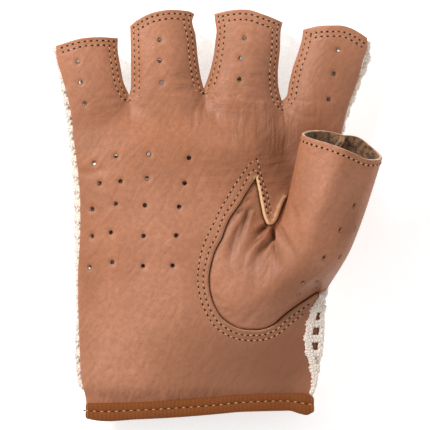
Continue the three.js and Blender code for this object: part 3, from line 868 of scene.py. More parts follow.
def bridge(start, leave, end, arrive, lines):
    """Lines of points from one ring to the next, which leave and arrive as told."""
    t = lines[:, None, None]
    return (
        start * (2 * t**3 - 3 * t**2 + 1)
        + leave * (t**3 - 2 * t**2 + t)
        + end * (3 * t**2 - 2 * t**3)
        + arrive * (t**3 - t**2)
    )


def surface_normals(grid):
    """The outward direction at each point of a tube's grid, rows along it and columns round it."""
    along = np.gradient(grid, axis=0)
    around = np.roll(grid, -1, axis=1) - np.roll(grid, 1, axis=1)
    normal = np.cross(along, around)
    return normal / np.maximum(np.linalg.norm(normal, axis=2), 1e-9)[..., None]


def mouth_ring(turn):
    """The rim of the thumb's mouth, bowed forward and pinched at the seam on its inner side."""
    lean, rise, slant = (math.radians(a) for a in (THUMB_LEAN, THUMB_RISE, MOUTH_SLANT))
    axis = np.array(
        (math.sin(lean) * math.cos(rise), math.cos(lean) * math.cos(rise), math.sin(rise))
    )
    wide = np.array((math.cos(lean), -math.sin(lean), 0))
    up = np.cross(wide, axis)
    deep = up * math.cos(slant) - axis * math.sin(slant)
    angle = np.radians(turn)[:, None]
    pinch = 1 - 0.17 * np.exp(-(((turn[:, None] - 266) / 12) ** 2))
    dip = 1.5 * np.exp(-(((turn[:, None] - 52) / 26) ** 2))
    dip = dip - 1.1 * np.exp(-(((turn[:, None] - 290) / 20) ** 2))
    ring = MOUTH_CENTRE + wide * MOUTH_WIDE * np.cos(angle)
    ring = ring + deep * MOUTH_DEEP * np.sin(angle) * pinch
    return ring + axis * (MOUTH_BOW * np.sin(angle) ** 2 - dip), axis


def under_palm(places):
    """How far each place of the plan is under the palm's leather, or less than 0 in the keyhole."""
    hole = np.vstack(
        [smooth_path(OUTLINE[name], 0.3) for name in ("behind thumb", "tongue", "keyhole")]
    )
    x, y = places.T
    away = distance_to(hole, places)
    ring = np.vstack([hole, ((80, 51), (80, 87))])
    nxt = np.roll(ring, -1, axis=0)
    crossing = (ring[:, 1] > y[:, None]) != (nxt[:, 1] > y[:, None])
    step = np.where(nxt[:, 1] == ring[:, 1], 1e-9, nxt[:, 1] - ring[:, 1])
    meets = ring[:, 0] + (y[:, None] - ring[:, 1]) / step * (nxt[:, 0] - ring[:, 0])
    inside = (crossing & (x[:, None] < meets)).sum(axis=1) % 2 == 1
    return np.where(inside, -away, away)


turn = np.linspace(0, 360, THUMB_COLUMNS, endpoint=False)
root = ring_at(THUMB_ROOT, turn)
root_high = hand_height(root[:, 0], root[:, 1]) - root[:, 2]
root = np.column_stack([root[:, :2], root_high])
neck = ring_at(THUMB_NECK, turn)
ease_over = neck[:, 3:]
neck = neck[:, :3]
sewn_under = hand_height(neck[:, 0], neck[:, 1]) - 1.5
beside_tongue = ease(turn, 190, 205) * (1 - ease(turn, 285, 310))
neck[:, 2] += beside_tongue * np.maximum(sewn_under - neck[:, 2], 0)
mouth, thumb_axis = mouth_ring(turn)
side = row_at(HAND_ROWS, root[:, 1])[:, 2]
beyond = ease(root[:, 0], side - 0.5, side + 1.5)
outwards = root[:, :2] - root[:, :2].mean(axis=0)
outwards = outwards / np.linalg.norm(outwards, axis=1)[:, None]
hem = root - np.outer(0.1 + 1.9 * beyond, (0, 0, 1))
hem[:, :2] += 0.7 * outwards * (1 - beyond)[:, None]
hem[:, 0] -= beyond * (root[:, 0] - side - 0.2)
hem_part = root + (hem - root) * np.linspace(1, 0, HEM_LINES, endpoint=False)[:, None, None]
reach = np.linalg.norm(neck - root, axis=1)[:, None]
length = np.linalg.norm(mouth - neck, axis=1)[:, None]
leave = neck - root
leave[:, 2] = 0.42 * np.linalg.norm(leave[:, :2], axis=1)
over = (neck - root) / reach + (mouth - neck) / length
over = over / np.linalg.norm(over, axis=1)[:, None]
root_part = bridge(
    root, leave, neck, over * reach * ease_over, np.linspace(0, 1, ROOT_LINES)[:-1] ** 0.9
)
tube_part = bridge(
    neck, over * length * ease_over, mouth, thumb_axis * length * 0.9,
    np.linspace(0, 1, TUBE_LINES),
)
cover = under_palm(root_part[..., :2].reshape(-1, 2)).reshape(root_part.shape[:2])
lid = hand_height(root_part[..., 0], root_part[..., 1]) - 1.7 + 2.2 * np.maximum(-cover, 0)
root_part[..., 2] = np.minimum(root_part[..., 2], lid)
cover = under_palm(tube_part[..., :2].reshape(-1, 2)).reshape(tube_part.shape[:2])
rest = hand_height(tube_part[..., 0], tube_part[..., 1]) + 0.5
rest = rest - 2.6 * (1 - ease(cover, -1.5, 0.6))
low_side = ease(turn, 185, 200) * (1 - ease(turn, 325, 345))
clear = 1 - ease(np.linspace(0, 1, TUBE_LINES), 0.72, 0.95)[:, None]
lift = np.maximum(rest - tube_part[..., 2], 0) * ease(cover, -1.5, -0.8)
tube_part[..., 2] += lift * low_side * clear
thumb_grid = np.vstack([hem_part, root_part, tube_part])
for _ in range(2):
    before = np.roll(thumb_grid, 1, axis=1)
    after = np.roll(thumb_grid, -1, axis=1)
    thumb_grid[1:-1] = (
        0.5 * thumb_grid[1:-1]
        + 0.125 * (thumb_grid[:-2] + thumb_grid[2:] + before[1:-1] + after[1:-1])
    )
thumb_out = surface_normals(thumb_grid)
plan = thumb_grid[..., :2].reshape(-1, 2)
facing = ease(thumb_out[..., 2], 0.1, 0.5)
press = np.zeros(len(plan))
# Painted shade down the deepest part of each fold.
fold_painted_shade = np.zeros(len(plan))
for line, deep, wide in THUMB_FOLDS:
    path = smooth_path(line, 0.25)
    away, point = nearest(path, plan)
    share = point / len(path)
    fades = (1 - share) ** 0.8 * ease(share, -0.05, 0.12)
    spread = wide * (0.8 + 1.1 * share)
    press -= deep * fades * np.exp(-((away / spread) ** 2))
    fold_painted_shade = np.maximum(fold_painted_shade, 0.42 * deep * fades * np.exp(-((away / (0.6 * spread)) ** 2)))
    press += 0.35 * deep * fades * np.exp(-(((away - 2.1 * spread) / (1.1 * spread)) ** 2))
crest = distance_to(smooth_path(THUMB_CREST, 0.5), plan)
press += CREST_HEIGHT * np.exp(-((crest / CREST_WIDTH) ** 2))
thumb_grid = thumb_grid + thumb_out * (press.reshape(facing.shape) * facing)[..., None]
thumb_out = surface_normals(thumb_grid)

lines, columns = thumb_grid.shape[:2]
number = np.arange(lines * columns).reshape(lines, columns)
thumb_faces = np.stack(
    [number[:-1], number[1:], np.roll(number, -1, axis=1)[1:], np.roll(number, -1, axis=1)[:-1]],
    axis=-1,
)
punched = np.zeros(thumb_faces.shape[:2], bool)
# Painted shade round the thumb's vents, in its folds and along the crevice at the keyhole's edge.
thumb_painted_shade = np.zeros((lines, columns))
tops = np.where(thumb_out[..., 2] > 0.05, 0, 50)
for vent in THUMB_VENTS:
    away = np.hypot(thumb_grid[..., 0] - vent[0], thumb_grid[..., 1] - vent[1]) + tops
    line, column = np.unravel_index(np.argmin(away), away.shape)
    centre = thumb_grid[line, column].copy()
    for down, side in ((-1, -1), (-1, 0), (-1, 1), (0, 1), (1, 1), (1, 0), (1, -1), (0, -1)):
        spot = (line + down, (column + side) % columns)
        ray = thumb_grid[spot] - centre
        thumb_grid[spot] = centre + ray / np.linalg.norm(ray) * THUMB_VENT_RADIUS
        thumb_painted_shade[spot] = 0.8
    for down in (-1, 0):
        for side in (-1, 0):
            punched[line + down, (column + side) % columns] = True
thumb_faces = thumb_faces[~punched]
thumb_points = thumb_grid.reshape(-1, 3)
under_edge = np.abs(under_palm(thumb_points[:, :2])).reshape(thumb_painted_shade.shape)
neck_line = HEM_LINES + ROOT_LINES
low_part = 1 - ease(np.arange(lines)[:, None], neck_line - 8, neck_line + 4)
# Painted shade in the crevice where the thumb runs under the palm's edge.
thumb_painted_shade = np.maximum(thumb_painted_shade, 0.9 * (1 - ease(under_edge, 0.25, 0.95)) * low_part)
fold_painted_shade = np.minimum(fold_painted_shade.reshape(thumb_painted_shade.shape), 0.85)
thumb_painted_shade = np.maximum(thumb_painted_shade, fold_painted_shade * facing)
used, thumb_faces = np.unique(thumb_faces, return_inverse=True)
thumb_faces = thumb_faces.reshape(-1, 4)
plan = thumb_points[:, :2]
thumb_skin = new_piece(
    "thumb_skin",
    thumb_points[used],
    thumb_faces.tolist(),
    {
        "raw": np.zeros(len(used)),
        "painted_crevice_shade": thumb_painted_shade.reshape(-1)[used],
        "creased_across": np.clip(0.5 * blot(plan, 20, 86, 8, 8), 0, 1)[used],
        "creased_down": np.clip(
            0.8 * blot(plan, 22, 62, 12, 12) + 0.3 * blot(plan, 48, 92, 10, 14), 0, 1
        )[used],
        # Painted light where the thumb is lit, on its front.
        "painted_light": np.clip(
            0.7 * blot(plan, 48, 98, 8, 18)
            + 0.5 * blot(plan, 13, 60, 8, 12)
            + 0.4 * blot(plan, 62, 94, 6, 12),
            0, 1,
        )[used],
        # Painted shade where the thumb turns from the light.
        "painted_shade": np.clip(
            0.75 * blot(plan, 46, 52, 22, 12)
            + 0.5 * blot(plan, 60, 82, 9, 26)
            + 0.5 * blot(plan, 22, 80, 8, 12)
            + 0.35 * blot(plan, 20, 42, 16, 8),
            0, 0.9,
        )[used],
    },
    (tan_nappa, brown_suede, raw_edge),
)
walled(thumb_skin, THUMB_LEATHER)
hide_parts("thumb_leather")
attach(thumb_skin, "root")

# The thumb's closing seam: the two edges of its nappa are laid face to face and sewn, so that
# their allowance stands inwards as a narrow double ridge of suede, seen through the mouth on the
# side of the palm.

SEAM_COLUMN = 154
SEAM_LENGTH = 34
SEAM_INSET = 1.2

# The double ridge's outline: across the seam and inwards.
SEAM_PROFILE = (
    (-1.2, -0.2), (-1.1, 1.7), (-0.8, 2.6), (-0.2, 2.7), (0, 1.9), (0.25, 2.5), (0.8, 2.4),
    (1.1, 1.6), (1.2, -0.2),
)

light_suede = suede("light_suede", shade(112, 76, 44), shade(168, 122, 78), 0.0003)
seam_in = -thumb_out[-2 - SEAM_LENGTH:-1, SEAM_COLUMN]
seam_base = thumb_grid[-2 - SEAM_LENGTH:-1, SEAM_COLUMN] + seam_in * SEAM_INSET
seam_way = np.gradient(seam_base, axis=0)
seam_side = np.cross(seam_in, seam_way)
seam_side = seam_side / np.linalg.norm(seam_side, axis=1)[:, None]
step = np.arange(SEAM_LENGTH + 1)
wander = 0.3 * np.sin(step / 3.1) + 0.2 * np.sin(step / 1.3)
stand = np.clip(0.3 + (SEAM_LENGTH - step) / 5, 0, 1)[:, None]
seam_points = np.array(
    [
        seam_base + seam_side * (across + wander)[:, None] + seam_in * high * stand
        for across, high in SEAM_PROFILE
    ]
)
sides, steps = seam_points.shape[:2]
number = np.arange(sides * steps).reshape(sides, steps)
turned = np.roll(number, -1, axis=0)
seam_faces = np.stack(
    [number[:, :-1], turned[:, :-1], turned[:, 1:], number[:, 1:]], axis=-1
).reshape(-1, 4).tolist()
seam_faces += [number[::-1, 0].tolist(), number[:, -1].tolist()]
thumb_seam = new_piece("thumb_seam", seam_points.reshape(-1, 3), seam_faces, {}, (light_suede,))
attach(thumb_seam, "root")

# The back of the glove and the outer sides of the fingers are crocheted in thick cream cotton:
# plaited chain rows 6 mm apart, joined by twisted posts with open gaps between them. It is sewn
# in under the leather's edge, and laps over it beside the thumb.

ROW_PITCH = 6.2
POST_PITCH = 4.6
YARN_RADIUS = 0.8
YARN_STEP = 0.66
THREE_YARNS = (0, 2 * math.pi / 3, 4 * math.pi / 3)
PLAIT_LENGTH = 5.0
PLAIT_WIDTH = 1.05
PLAIT_DEPTH = 0.42
TWIST_RADIUS = 0.62
SHEET_STEPS = 160
SIDE_TUCK = 1.0
LEATHER_LAP = 1.4
BARE_SIDE = 3.5
BORDER = 7.8
ROW_BELOW = YARN_RADIUS + PLAIT_DEPTH + 0.05
POST_BELOW = YARN_RADIUS + 0.8 * TWIST_RADIUS + 0.35

# Along the hand, where the crochet starts on the left and ends on the right.
CROCHET_SIDES = (
    (3, -47.5, 45.0),
    (8.2, -47.8, 45.1),
    (15.6, -49.2, 44.4),
    (20.8, -49.5, 43.7),
    (25.3, -49.8, 42.6),
    (29.2, -50, 41.7),
    (34.4, -50.2, 41.8),
    (40.6, -50.4, 43.1),
    (46.8, -50.6, 45.6),
    (50.7, -50.6, 48.4),
    (56, -50.4, 52),
    (62, -50.1, 52.3),
    (72, -49.8, 53.2),
    (87, -49.8, 53.2),
    (93, -49.9, 52.4),
    (102, -50.7, 52.8),
    (113, -52, 54.3),
    (123, -53.2, 56.6),
    (131, -54.4, 58.8),
)


def oval(angle, left, right, middle, under, roundness):
    """A point on an oval section's underside, from the left at 180 degrees to the right at 360."""
    across = np.sign(np.cos(angle)) * np.abs(np.cos(angle)) ** (2 / roundness)
    x = (left + right) / 2 + (right - left) / 2 * across
    drop = np.abs(np.sin(angle)) ** (2 / roundness)
    return x, middle - (middle - under) * drop


def evenly(line, count):
    """The same line with its points spread evenly along it."""
    along = np.append(0, np.cumsum(np.linalg.norm(np.diff(line, axis=0), axis=1)))
    at = np.linspace(0, along[-1], count)
    return np.column_stack([np.interp(at, along, line[:, axis]) for axis in range(3)])


def hand_section(y):
    """The line across the back of the hand, from the left seam under the hand to the right."""
    left, right, _, middle, under = row_at(HAND_ROWS, y)
    right = right + 0.7 * ease(y, 12, 30) * ease(y, 66, 56)
    start, end = row_at(CROCHET_SIDES, y)
    half = (right - left) / 2
    centre = (left + right) / 2
    first = math.acos(min(1, abs(start - centre) / half) ** (PALM_ROUNDNESS / 2))
    last = math.acos(min(1, abs(end - centre) / half) ** (PALM_ROUNDNESS / 2))
    angle = np.linspace(math.pi - first, 2 * math.pi + last, 400)
    x, z = oval(angle, left, right, middle, under, PALM_ROUNDNESS)
    upper = np.sin(angle) > 0
    z = np.where(upper, hand_height(x, np.full_like(x, y)), z)
    tucked = TUCK_DEPTH * ease(z, middle + 1, middle + 5) * upper
    lap = ease(y, 56, 50) if y < 56 else 0
    tucked = tucked * np.where(x > centre, 1 - lap, 1)
    tucked = tucked - 1.0 * lap * upper * (x > centre)
    return evenly(np.column_stack([x, np.full_like(x, y), z - tucked]), SHEET_STEPS)


def finger_section(name, y):
    """The line round the back of one finger, from under the leather on its left to its right."""
    left, right = row_at(FINGER_SIDES[name], y)
    left_bare = name == "little"
    right_bare = name == "index"
    left = left + (0.1 if left_bare else SIDE_TUCK)
    right = right - (0.1 if right_bare else SIDE_TUCK)
    start = left + (BARE_SIDE if left_bare else LEATHER_LAP)
    end = right - (BARE_SIDE if right_bare else LEATHER_LAP)
    centre = (left + right) / 2
    half = (right - left) / 2
    first = math.acos((abs(start - centre) / half) ** (FINGER_ROUNDNESS / 2))
    last = math.acos((abs(end - centre) / half) ** (FINGER_ROUNDNESS / 2))
    angle = np.linspace(math.pi - first, 2 * math.pi + last, 300)
    under = 0.2 + 0.8 * ease(y, 135, 165)
    x, z = oval(angle, left, right, FINGER_MIDDLE, under, FINGER_ROUNDNESS)
    top = 18.7 - 1.2 * ease(y, 134, 168)
    raised = FINGER_MIDDLE + (top - FINGER_MIDDLE) * (FINGER_MIDDLE - z) / (FINGER_MIDDLE - under)
    upper = np.sin(angle) > 0
    z = np.where(upper, raised, z)
    hand_left, hand_right, _, middle, low = row_at(HAND_ROWS, y)
    across = (2 * x - hand_left - hand_right) / (hand_right - hand_left)
    drop = (1 - np.clip(np.abs(across), 0, 1) ** PALM_ROUNDNESS) ** (1 / PALM_ROUNDNESS)
    flat = middle - (middle - low) * drop
    bare = upper & ((left_bare & (x < centre)) | (right_bare & (x > centre)))
    over = 2 * middle - flat
    over = over - TUCK_DEPTH * ease(over, middle + 1, middle + 5)
    doubled = flat + 3.4 * np.clip(np.sin(angle) / 0.3, 0, 1)
    flat = np.where(bare, over, doubled)
    z = flat + (z - flat) * ease(y, 124, 138)
    return evenly(np.column_stack([x, np.full_like(x, y), z]), 70)


def on_sheet(sheet, u, v):
    """Points and their outward directions on a grid of points, u across it and v along it."""
    lines, columns = sheet.shape[:2]
    along = np.gradient(sheet, axis=0)
    across = np.gradient(sheet, axis=1)
    normal = np.cross(along, across)
    normal = normal / np.maximum(np.linalg.norm(normal, axis=2), 1e-9)[..., None]
    column = np.clip(u * (columns - 1), 0, columns - 1.001)
    line = np.clip(v * (lines - 1), 0, lines - 1.001)
    i = line.astype(int)
    j = column.astype(int)
    a = (line - i)[:, None]
    b = (column - j)[:, None]

    def read(values):
        return (
            values[i, j] * (1 - a) * (1 - b)
            + values[i + 1, j] * a * (1 - b)
            + values[i, j + 1] * (1 - a) * b
            + values[i + 1, j + 1] * a * b
        )

    return read(sheet), read(normal), read(along / np.linalg.norm(along, axis=2)[..., None])


def chain_row(sheet, v, phase):
    """A plait of three yarns that runs across the sheet."""
    line, _, _ = on_sheet(sheet, np.linspace(0, 1, 300), np.full(300, v))
    length = np.linalg.norm(np.diff(line, axis=0), axis=1).sum()
    count = int(length / YARN_STEP)
    u = np.linspace(0, 1, count)
    point, normal, along = on_sheet(sheet, u, np.full(count, v))
    wave = 2 * math.pi * u * length / PLAIT_LENGTH + phase
    return [
        point
        + along * (PLAIT_WIDTH * np.sin(wave + start))[:, None]
        + normal * (PLAIT_DEPTH * np.sin(2 * (wave + start)) - ROW_BELOW)[:, None]
        for start in THREE_YARNS
    ]


def edge_plait(sheet, inset, low, high, phase):
    """A plait of three yarns that runs down the sheet, inset mm from its right side."""
    line, _, _ = on_sheet(sheet, np.full(200, 0.98), np.linspace(low, high, 200))
    length = np.linalg.norm(np.diff(line, axis=0), axis=1).sum()
    count = int(length / YARN_STEP)
    v = np.linspace(low, high, count)
    row = np.clip((v * (len(sheet) - 1)).astype(int), 0, len(sheet) - 1)
    wide = np.linalg.norm(np.diff(sheet[row], axis=1), axis=2).sum(axis=1)
    wave = 2 * math.pi * np.linspace(0, length / PLAIT_LENGTH, count) + phase
    strands = []
    for start in THREE_YARNS:
        u = 1 - (inset - PLAIT_WIDTH * np.sin(wave + start)) / wide
        point, normal, _ = on_sheet(sheet, u, v)
        lift = PLAIT_DEPTH * np.sin(2 * (wave + start)) - ROW_BELOW + 0.15
        strands.append(point + normal * lift[:, None])
    return strands


def post(sheet, u, low, high, slant, phase):
    """Two yarns twisted round each other, from one chain row to the next."""
    v = np.linspace(low, high, 9)
    point, normal, _ = on_sheet(sheet, u + slant * np.linspace(-0.5, 0.5, 9), v)
    side = np.cross(normal, np.gradient(point, axis=0))
    side = side / np.linalg.norm(side, axis=1)[:, None]
    twist = np.linspace(0, 1.25 * 2 * math.pi, 9) + phase
    return [
        point
        + side * (TWIST_RADIUS * np.cos(twist + start))[:, None]
        + normal * (0.8 * TWIST_RADIUS * np.sin(twist + start) - POST_BELOW)[:, None]
        for start in (0, math.pi)
    ]


def crocheted(sheet, places, ends, rng, border=0.0):
    """The chain rows and the posts of one patch, whose rows lie at the shares of v given."""
    rows = []
    posts = []
    for v in places:
        rows += chain_row(sheet, v, rng.uniform(0, 2 * math.pi))
    for number, (low, high) in enumerate(zip(ends[:-1], ends[1:])):
        line, _, _ = on_sheet(sheet, np.linspace(0, 1, 200), np.full(200, (low + high) / 2))
        length = np.linalg.norm(np.diff(line, axis=0), axis=1).sum()
        count = max(2, round((length - border) / POST_PITCH))
        for index in range(count + 1):
            u = (index + rng.uniform(-0.07, 0.07)) / count * (1 - border / length)
            u = np.clip(u, 0.004, 0.996)
            slant = rng.uniform(-0.12, 0.12) * POST_PITCH / length
            posts += post(sheet, u, low, high, slant, rng.uniform(0, 2 * math.pi))
    return rows, posts


def yarn_tree():
    """Turns lines of points into yarn of a given thickness, with a few sides."""
    tree, given, out = new_group(
        "cotton_yarn",
        (
            ("Geometry", "NodeSocketGeometry", None),
            ("Radius", "NodeSocketFloat", 0.0006),
            ("Sides", "NodeSocketInt", 6),
            ("Finish", "NodeSocketMaterial", None),
        ),
        (("Geometry", "NodeSocketGeometry"),),
        "GeometryNodeTree",
    )
    curve = add_node(tree, "GeometryNodeMeshToCurve", {"Mesh": given["Geometry"]})
    run = add_node(tree, "GeometryNodeSplineParameter")
    marked = add_node(
        tree, "GeometryNodeStoreNamedAttribute",
        {"Geometry": curve.outputs[0], "Name": "yarn_run", "Value": run.outputs["Length"]},
    )
    ring = add_node(
        tree, "GeometryNodeCurvePrimitiveCircle",
        {"Resolution": given["Sides"], "Radius": given["Radius"]},
    )
    spot = add_node(tree, "GeometryNodeInputPosition")
    around = add_node(
        tree, "GeometryNodeStoreNamedAttribute",
        {"Geometry": ring.outputs[0], "Name": "yarn_round", "Value": spot.outputs[0]},
        data_type="FLOAT_VECTOR",
    )
    tube = add_node(
        tree, "GeometryNodeCurveToMesh",
        {"Curve": marked.outputs[0], "Profile Curve": around.outputs[0], "Fill Caps": True},
    )
    smooth = add_node(tree, "GeometryNodeSetShadeSmooth", {"Geometry": tube.outputs[0]})
    real = add_node(tree, "GeometryNodeRealizeInstances", {"Geometry": smooth.outputs[0]})
    done = add_node(
        tree, "GeometryNodeSetMaterial",
        {"Geometry": real.outputs[0], "Material": given["Finish"]},
    )
    tree.links.new(done.outputs[0], out.inputs[0])
    return tree


def made_by(name, source, tree, inputs):
    """Runs a Geometry Nodes tree on a mesh and keeps what it makes as a plain piece."""
    carrier = bpy.data.objects.new("carrier", source)
    bpy.context.scene.collection.objects.link(carrier)
    modifier = carrier.modifiers.new("nodes", "NODES")
    modifier.node_group = tree
    for item in tree.interface.items_tree:
        if item.in_out == "INPUT" and item.name in inputs:
            modifier[item.identifier] = inputs[item.name]
    bpy.context.view_layer.update()
    made = bpy.data.meshes.new_from_object(
        carrier.evaluated_get(bpy.context.evaluated_depsgraph_get())
    )
    bpy.data.objects.remove(carrier)
    made.name = name
    piece = bpy.data.objects.new(name, made)
    bpy.context.scene.collection.objects.link(piece)
    return piece


def lines_mesh(name, strands):
    """A mesh of edges only, one open line for each strand of points in mm."""
    mesh = bpy.data.meshes.new(name)
    starts = np.cumsum([0] + [len(strand) for strand in strands[:-1]])
    edges = [
        (start + i, start + i + 1)
        for start, strand in zip(starts.tolist(), strands)
        for i in range(len(strand) - 1)
    ]
    mesh.from_pydata(in_frame(np.vstack(strands)).tolist(), edges, [])
    return mesh


cream_cotton, tree, shader = new_finish("cream_cotton", Sheen_Weight=0.25, Sheen_Roughness=0.5)
fluff = placed_group(tree, grain, {"Pebbles": 2600.0, "Clouds": 160.0})
round_yarn = add_node(tree, "ShaderNodeSeparateXYZ", {0: attribute(tree, "yarn_round", "Vector")})
ply = arithmetic(tree, "ARCTAN2", round_yarn.outputs[1], round_yarn.outputs[0])
ply = arithmetic(tree, "MULTIPLY", ply, 3.0)
ply = arithmetic(tree, "ADD", ply, arithmetic(tree, "MULTIPLY", attribute(tree, "yarn_run"), 4800.0))
ply = arithmetic(tree, "SINE", ply)
share = ranged(tree, ply, -1.0, 0.3, 0.0, 1.0)
cotton = blended(tree, fluff["Tone"], shade(238, 223, 209), shade(250, 241, 232))
# Painted shade in the grooves between the yarn's plies.
cotton = blended(tree, share, shade(238, 217, 199), cotton)
tree.links.new(cotton, shader.inputs["Base Color"])
roughened(tree, shader, fluff["Tone"], 0.75, 0.2)
twist_high = arithmetic(tree, "ADD", ply, arithmetic(tree, "MULTIPLY", fluff["Height"], 1.2))
bumped(tree, shader, twist_high, 0.0001)

crochet_rng = np.random.default_rng(7)
yarn = yarn_tree()
yarn_inputs = {"Radius": YARN_RADIUS / 1000, "Sides": 6, "Finish": cream_cotton}
hand_lines = np.arange(4.0, 131.0, 1.0)
hand_sheet = np.array([hand_section(y) for y in hand_lines])
row_places = (np.arange(7.5, 130, ROW_PITCH) - hand_lines[0]) / (hand_lines[-1] - hand_lines[0])
hand_rows, hand_posts = crocheted(hand_sheet, row_places, row_places, crochet_rng, BORDER)
hand_rows += edge_plait(hand_sheet, 1.9, 0.01, 0.99, 0.4)
last_row = hand_lines[0] + row_places[-1] * (hand_lines[-1] - hand_lines[0])
finger_strands = []
for name, tip in (("little", 154.0), ("ring", 164.5), ("middle", 164.5), ("index", 155.5)):
    sheet = np.array([finger_section(name, y) for y in np.arange(last_row, tip, 1.0)])
    places = np.linspace(0, 0.96, round((tip - last_row) / (ROW_PITCH - 0.2)) + 1)
    rows, posts = crocheted(sheet, places[1:], places, crochet_rng)
    finger_strands += rows + posts
for name, strands in (
    ("crochet_rows", hand_rows),
    ("crochet_posts", hand_posts),
    ("crochet_fingers", finger_strands),
):
    piece = made_by(name, lines_mesh(name + "_lines", strands), yarn, yarn_inputs)
    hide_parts("crochet_back")
    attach(piece, "root")

# Everything is sewn with one light beige thread: two rows beside each finger's edge and round
# the keyhole, one round the thumb's mouth and, later, one along the tape. The stitches lie in
# a slight groove, and beside each stitch a small dark bead stands for its needle hole: painted
# shade for the shadow inside the hole.

STITCH_PITCH = 2.45
STITCH_SIZE = (1.3, 0.58, 0.46)
HOLE_SIZE = (1.05, 0.94, 0.34)
HEM_STITCHES = 2.1  # from the thumb's rim to its row of stitches
TAPE_STITCH_PITCH = 3.1
TAPE_STITCH_SIZE = (1.25, 0.5, 0.36)
TAPE_HOLE_SIZE = (1.5, 0.6, 0.36)


def sewing_tree():
    """Puts a stitch at each point, turned the way the seam runs, and beside it a dark bead of painted
    shade for its needle hole.
    """
    tree, given, out = new_group(
        "sewing",
        (
            ("Geometry", "NodeSocketGeometry", None),
            ("Stitch Size", "NodeSocketVector", (0.0018, 0.0007, 0.0005)),
            ("Hole Size", "NodeSocketVector", (0.0008, 0.0007, 0.0003)),
            ("Half Pitch", "NodeSocketFloat", 0.0013),
            ("Hole Depth", "NodeSocketFloat", 0.0001),
            ("Unevenness", "NodeSocketFloat", 0.12),
            ("Least Swing", "NodeSocketFloat", -0.1),
            ("Most Swing", "NodeSocketFloat", 0.22),
            ("Seed", "NodeSocketInt", 4),
            ("Thread", "NodeSocketMaterial", None),
            ("Shadow", "NodeSocketMaterial", None),
        ),
        (("Geometry", "NodeSocketGeometry"),),
        "GeometryNodeTree",
    )
    reads = {
        name: add_node(
            tree, "GeometryNodeInputNamedAttribute", {"Name": name}, data_type="FLOAT_VECTOR"
        ).outputs["Attribute"]
        for name in ("seam_ahead", "seam_out")
    }
    facing = add_node(
        tree, "FunctionNodeAxesToRotation",
        {"Primary Axis": reads["seam_out"], "Secondary Axis": reads["seam_ahead"]},
    ).outputs[0]
    least = arithmetic(tree, "SUBTRACT", 1.0, given["Unevenness"])
    most = arithmetic(tree, "ADD", 1.0, given["Unevenness"])
    low = add_node(tree, "ShaderNodeCombineXYZ", {0: least, 1: least, 2: least}).outputs[0]
    high = add_node(tree, "ShaderNodeCombineXYZ", {0: most, 1: most, 2: most}).outputs[0]
    size = add_node(
        tree, "FunctionNodeRandomValue", {0: low, 1: high, "Seed": given["Seed"]},
        data_type="FLOAT_VECTOR",
    )
    swing = add_node(
        tree, "FunctionNodeRandomValue",
        {2: given["Least Swing"], 3: given["Most Swing"], "Seed": given["Seed"]},
        data_type="FLOAT",
    )
    swung = add_node(tree, "ShaderNodeCombineXYZ", {2: swing.outputs[1]}).outputs[0]
    parts = []
    for sizes, segments, rings, finish in (
        ("Stitch Size", 8, 6, "Thread"),
        ("Hole Size", 8, 4, "Shadow"),
    ):
        bead = add_node(
            tree, "GeometryNodeMeshUVSphere",
            {"Segments": segments, "Rings": rings, "Radius": 0.5},
        )
        shaped = add_node(
            tree, "GeometryNodeTransform", {"Geometry": bead.outputs[0], "Scale": given[sizes]}
        )
        points = given["Geometry"]
        turned = facing
        if finish == "Thread":
            turned = add_node(
                tree, "FunctionNodeRotateRotation", {"Rotation": facing, "Rotate By": swung},
                rotation_space="LOCAL",
            ).outputs[0]
        else:
            ahead = add_node(
                tree, "ShaderNodeVectorMath",
                {0: reads["seam_ahead"], "Scale": given["Half Pitch"]}, operation="SCALE",
            )
            down = add_node(
                tree, "ShaderNodeVectorMath",
                {0: reads["seam_out"], "Scale": given["Hole Depth"]}, operation="SCALE",
            )
            shift = add_node(
                tree, "ShaderNodeVectorMath", {0: ahead.outputs[0], 1: down.outputs[0]},
                operation="SUBTRACT",
            )
            points = add_node(
                tree, "GeometryNodeSetPosition",
                {"Geometry": given["Geometry"], "Offset": shift.outputs[0]},
            ).outputs[0]
        each = add_node(
            tree, "GeometryNodeInstanceOnPoints",
            {
                "Points": points, "Instance": shaped.outputs[0], "Rotation": turned,
                "Scale": size.outputs[0],
            },
        )
        real = add_node(tree, "GeometryNodeRealizeInstances", {"Geometry": each.outputs[0]})
        smooth = add_node(tree, "GeometryNodeSetShadeSmooth", {"Geometry": real.outputs[0]})
        done = add_node(
            tree, "GeometryNodeSetMaterial",
            {"Geometry": smooth.outputs[0], "Material": given[finish]},
        )
        parts.append(done.outputs[0])
    both = add_node(tree, "GeometryNodeJoinGeometry")
    for part in parts:
        tree.links.new(part, both.inputs[0])
    tree.links.new(both.outputs[0], out.inputs[0])
    return tree


beige_thread, tree, shader = new_finish("beige_thread", Sheen_Weight=0.2, Sheen_Roughness=0.4)
waxed = placed_group(tree, grain, {"Pebbles": 2600.0, "Clouds": 700.0})
thread = blended(tree, waxed["Tone"], shade(164, 116, 78), shade(226, 180, 136))
tree.links.new(thread, shader.inputs["Base Color"])
roughened(tree, shader, waxed["Tone"], 0.45, 0.2)
bumped(tree, shader, waxed["Height"], 0.00006)

# Painted shade: a small dark bead stands for the shadow inside each needle hole.
needle_hole_shade, tree, shader = new_finish("needle_hole_shade", Specular_IOR_Level=0.1)
burr = placed_group(tree, grain, {"Pebbles": 2600.0, "Clouds": 900.0})
pit = blended(tree, burr["Tone"], shade(30, 16, 8), shade(74, 42, 24))
tree.links.new(pit, shader.inputs["Base Color"])
roughened(tree, shader, burr["Tone"], 0.8, 0.15)


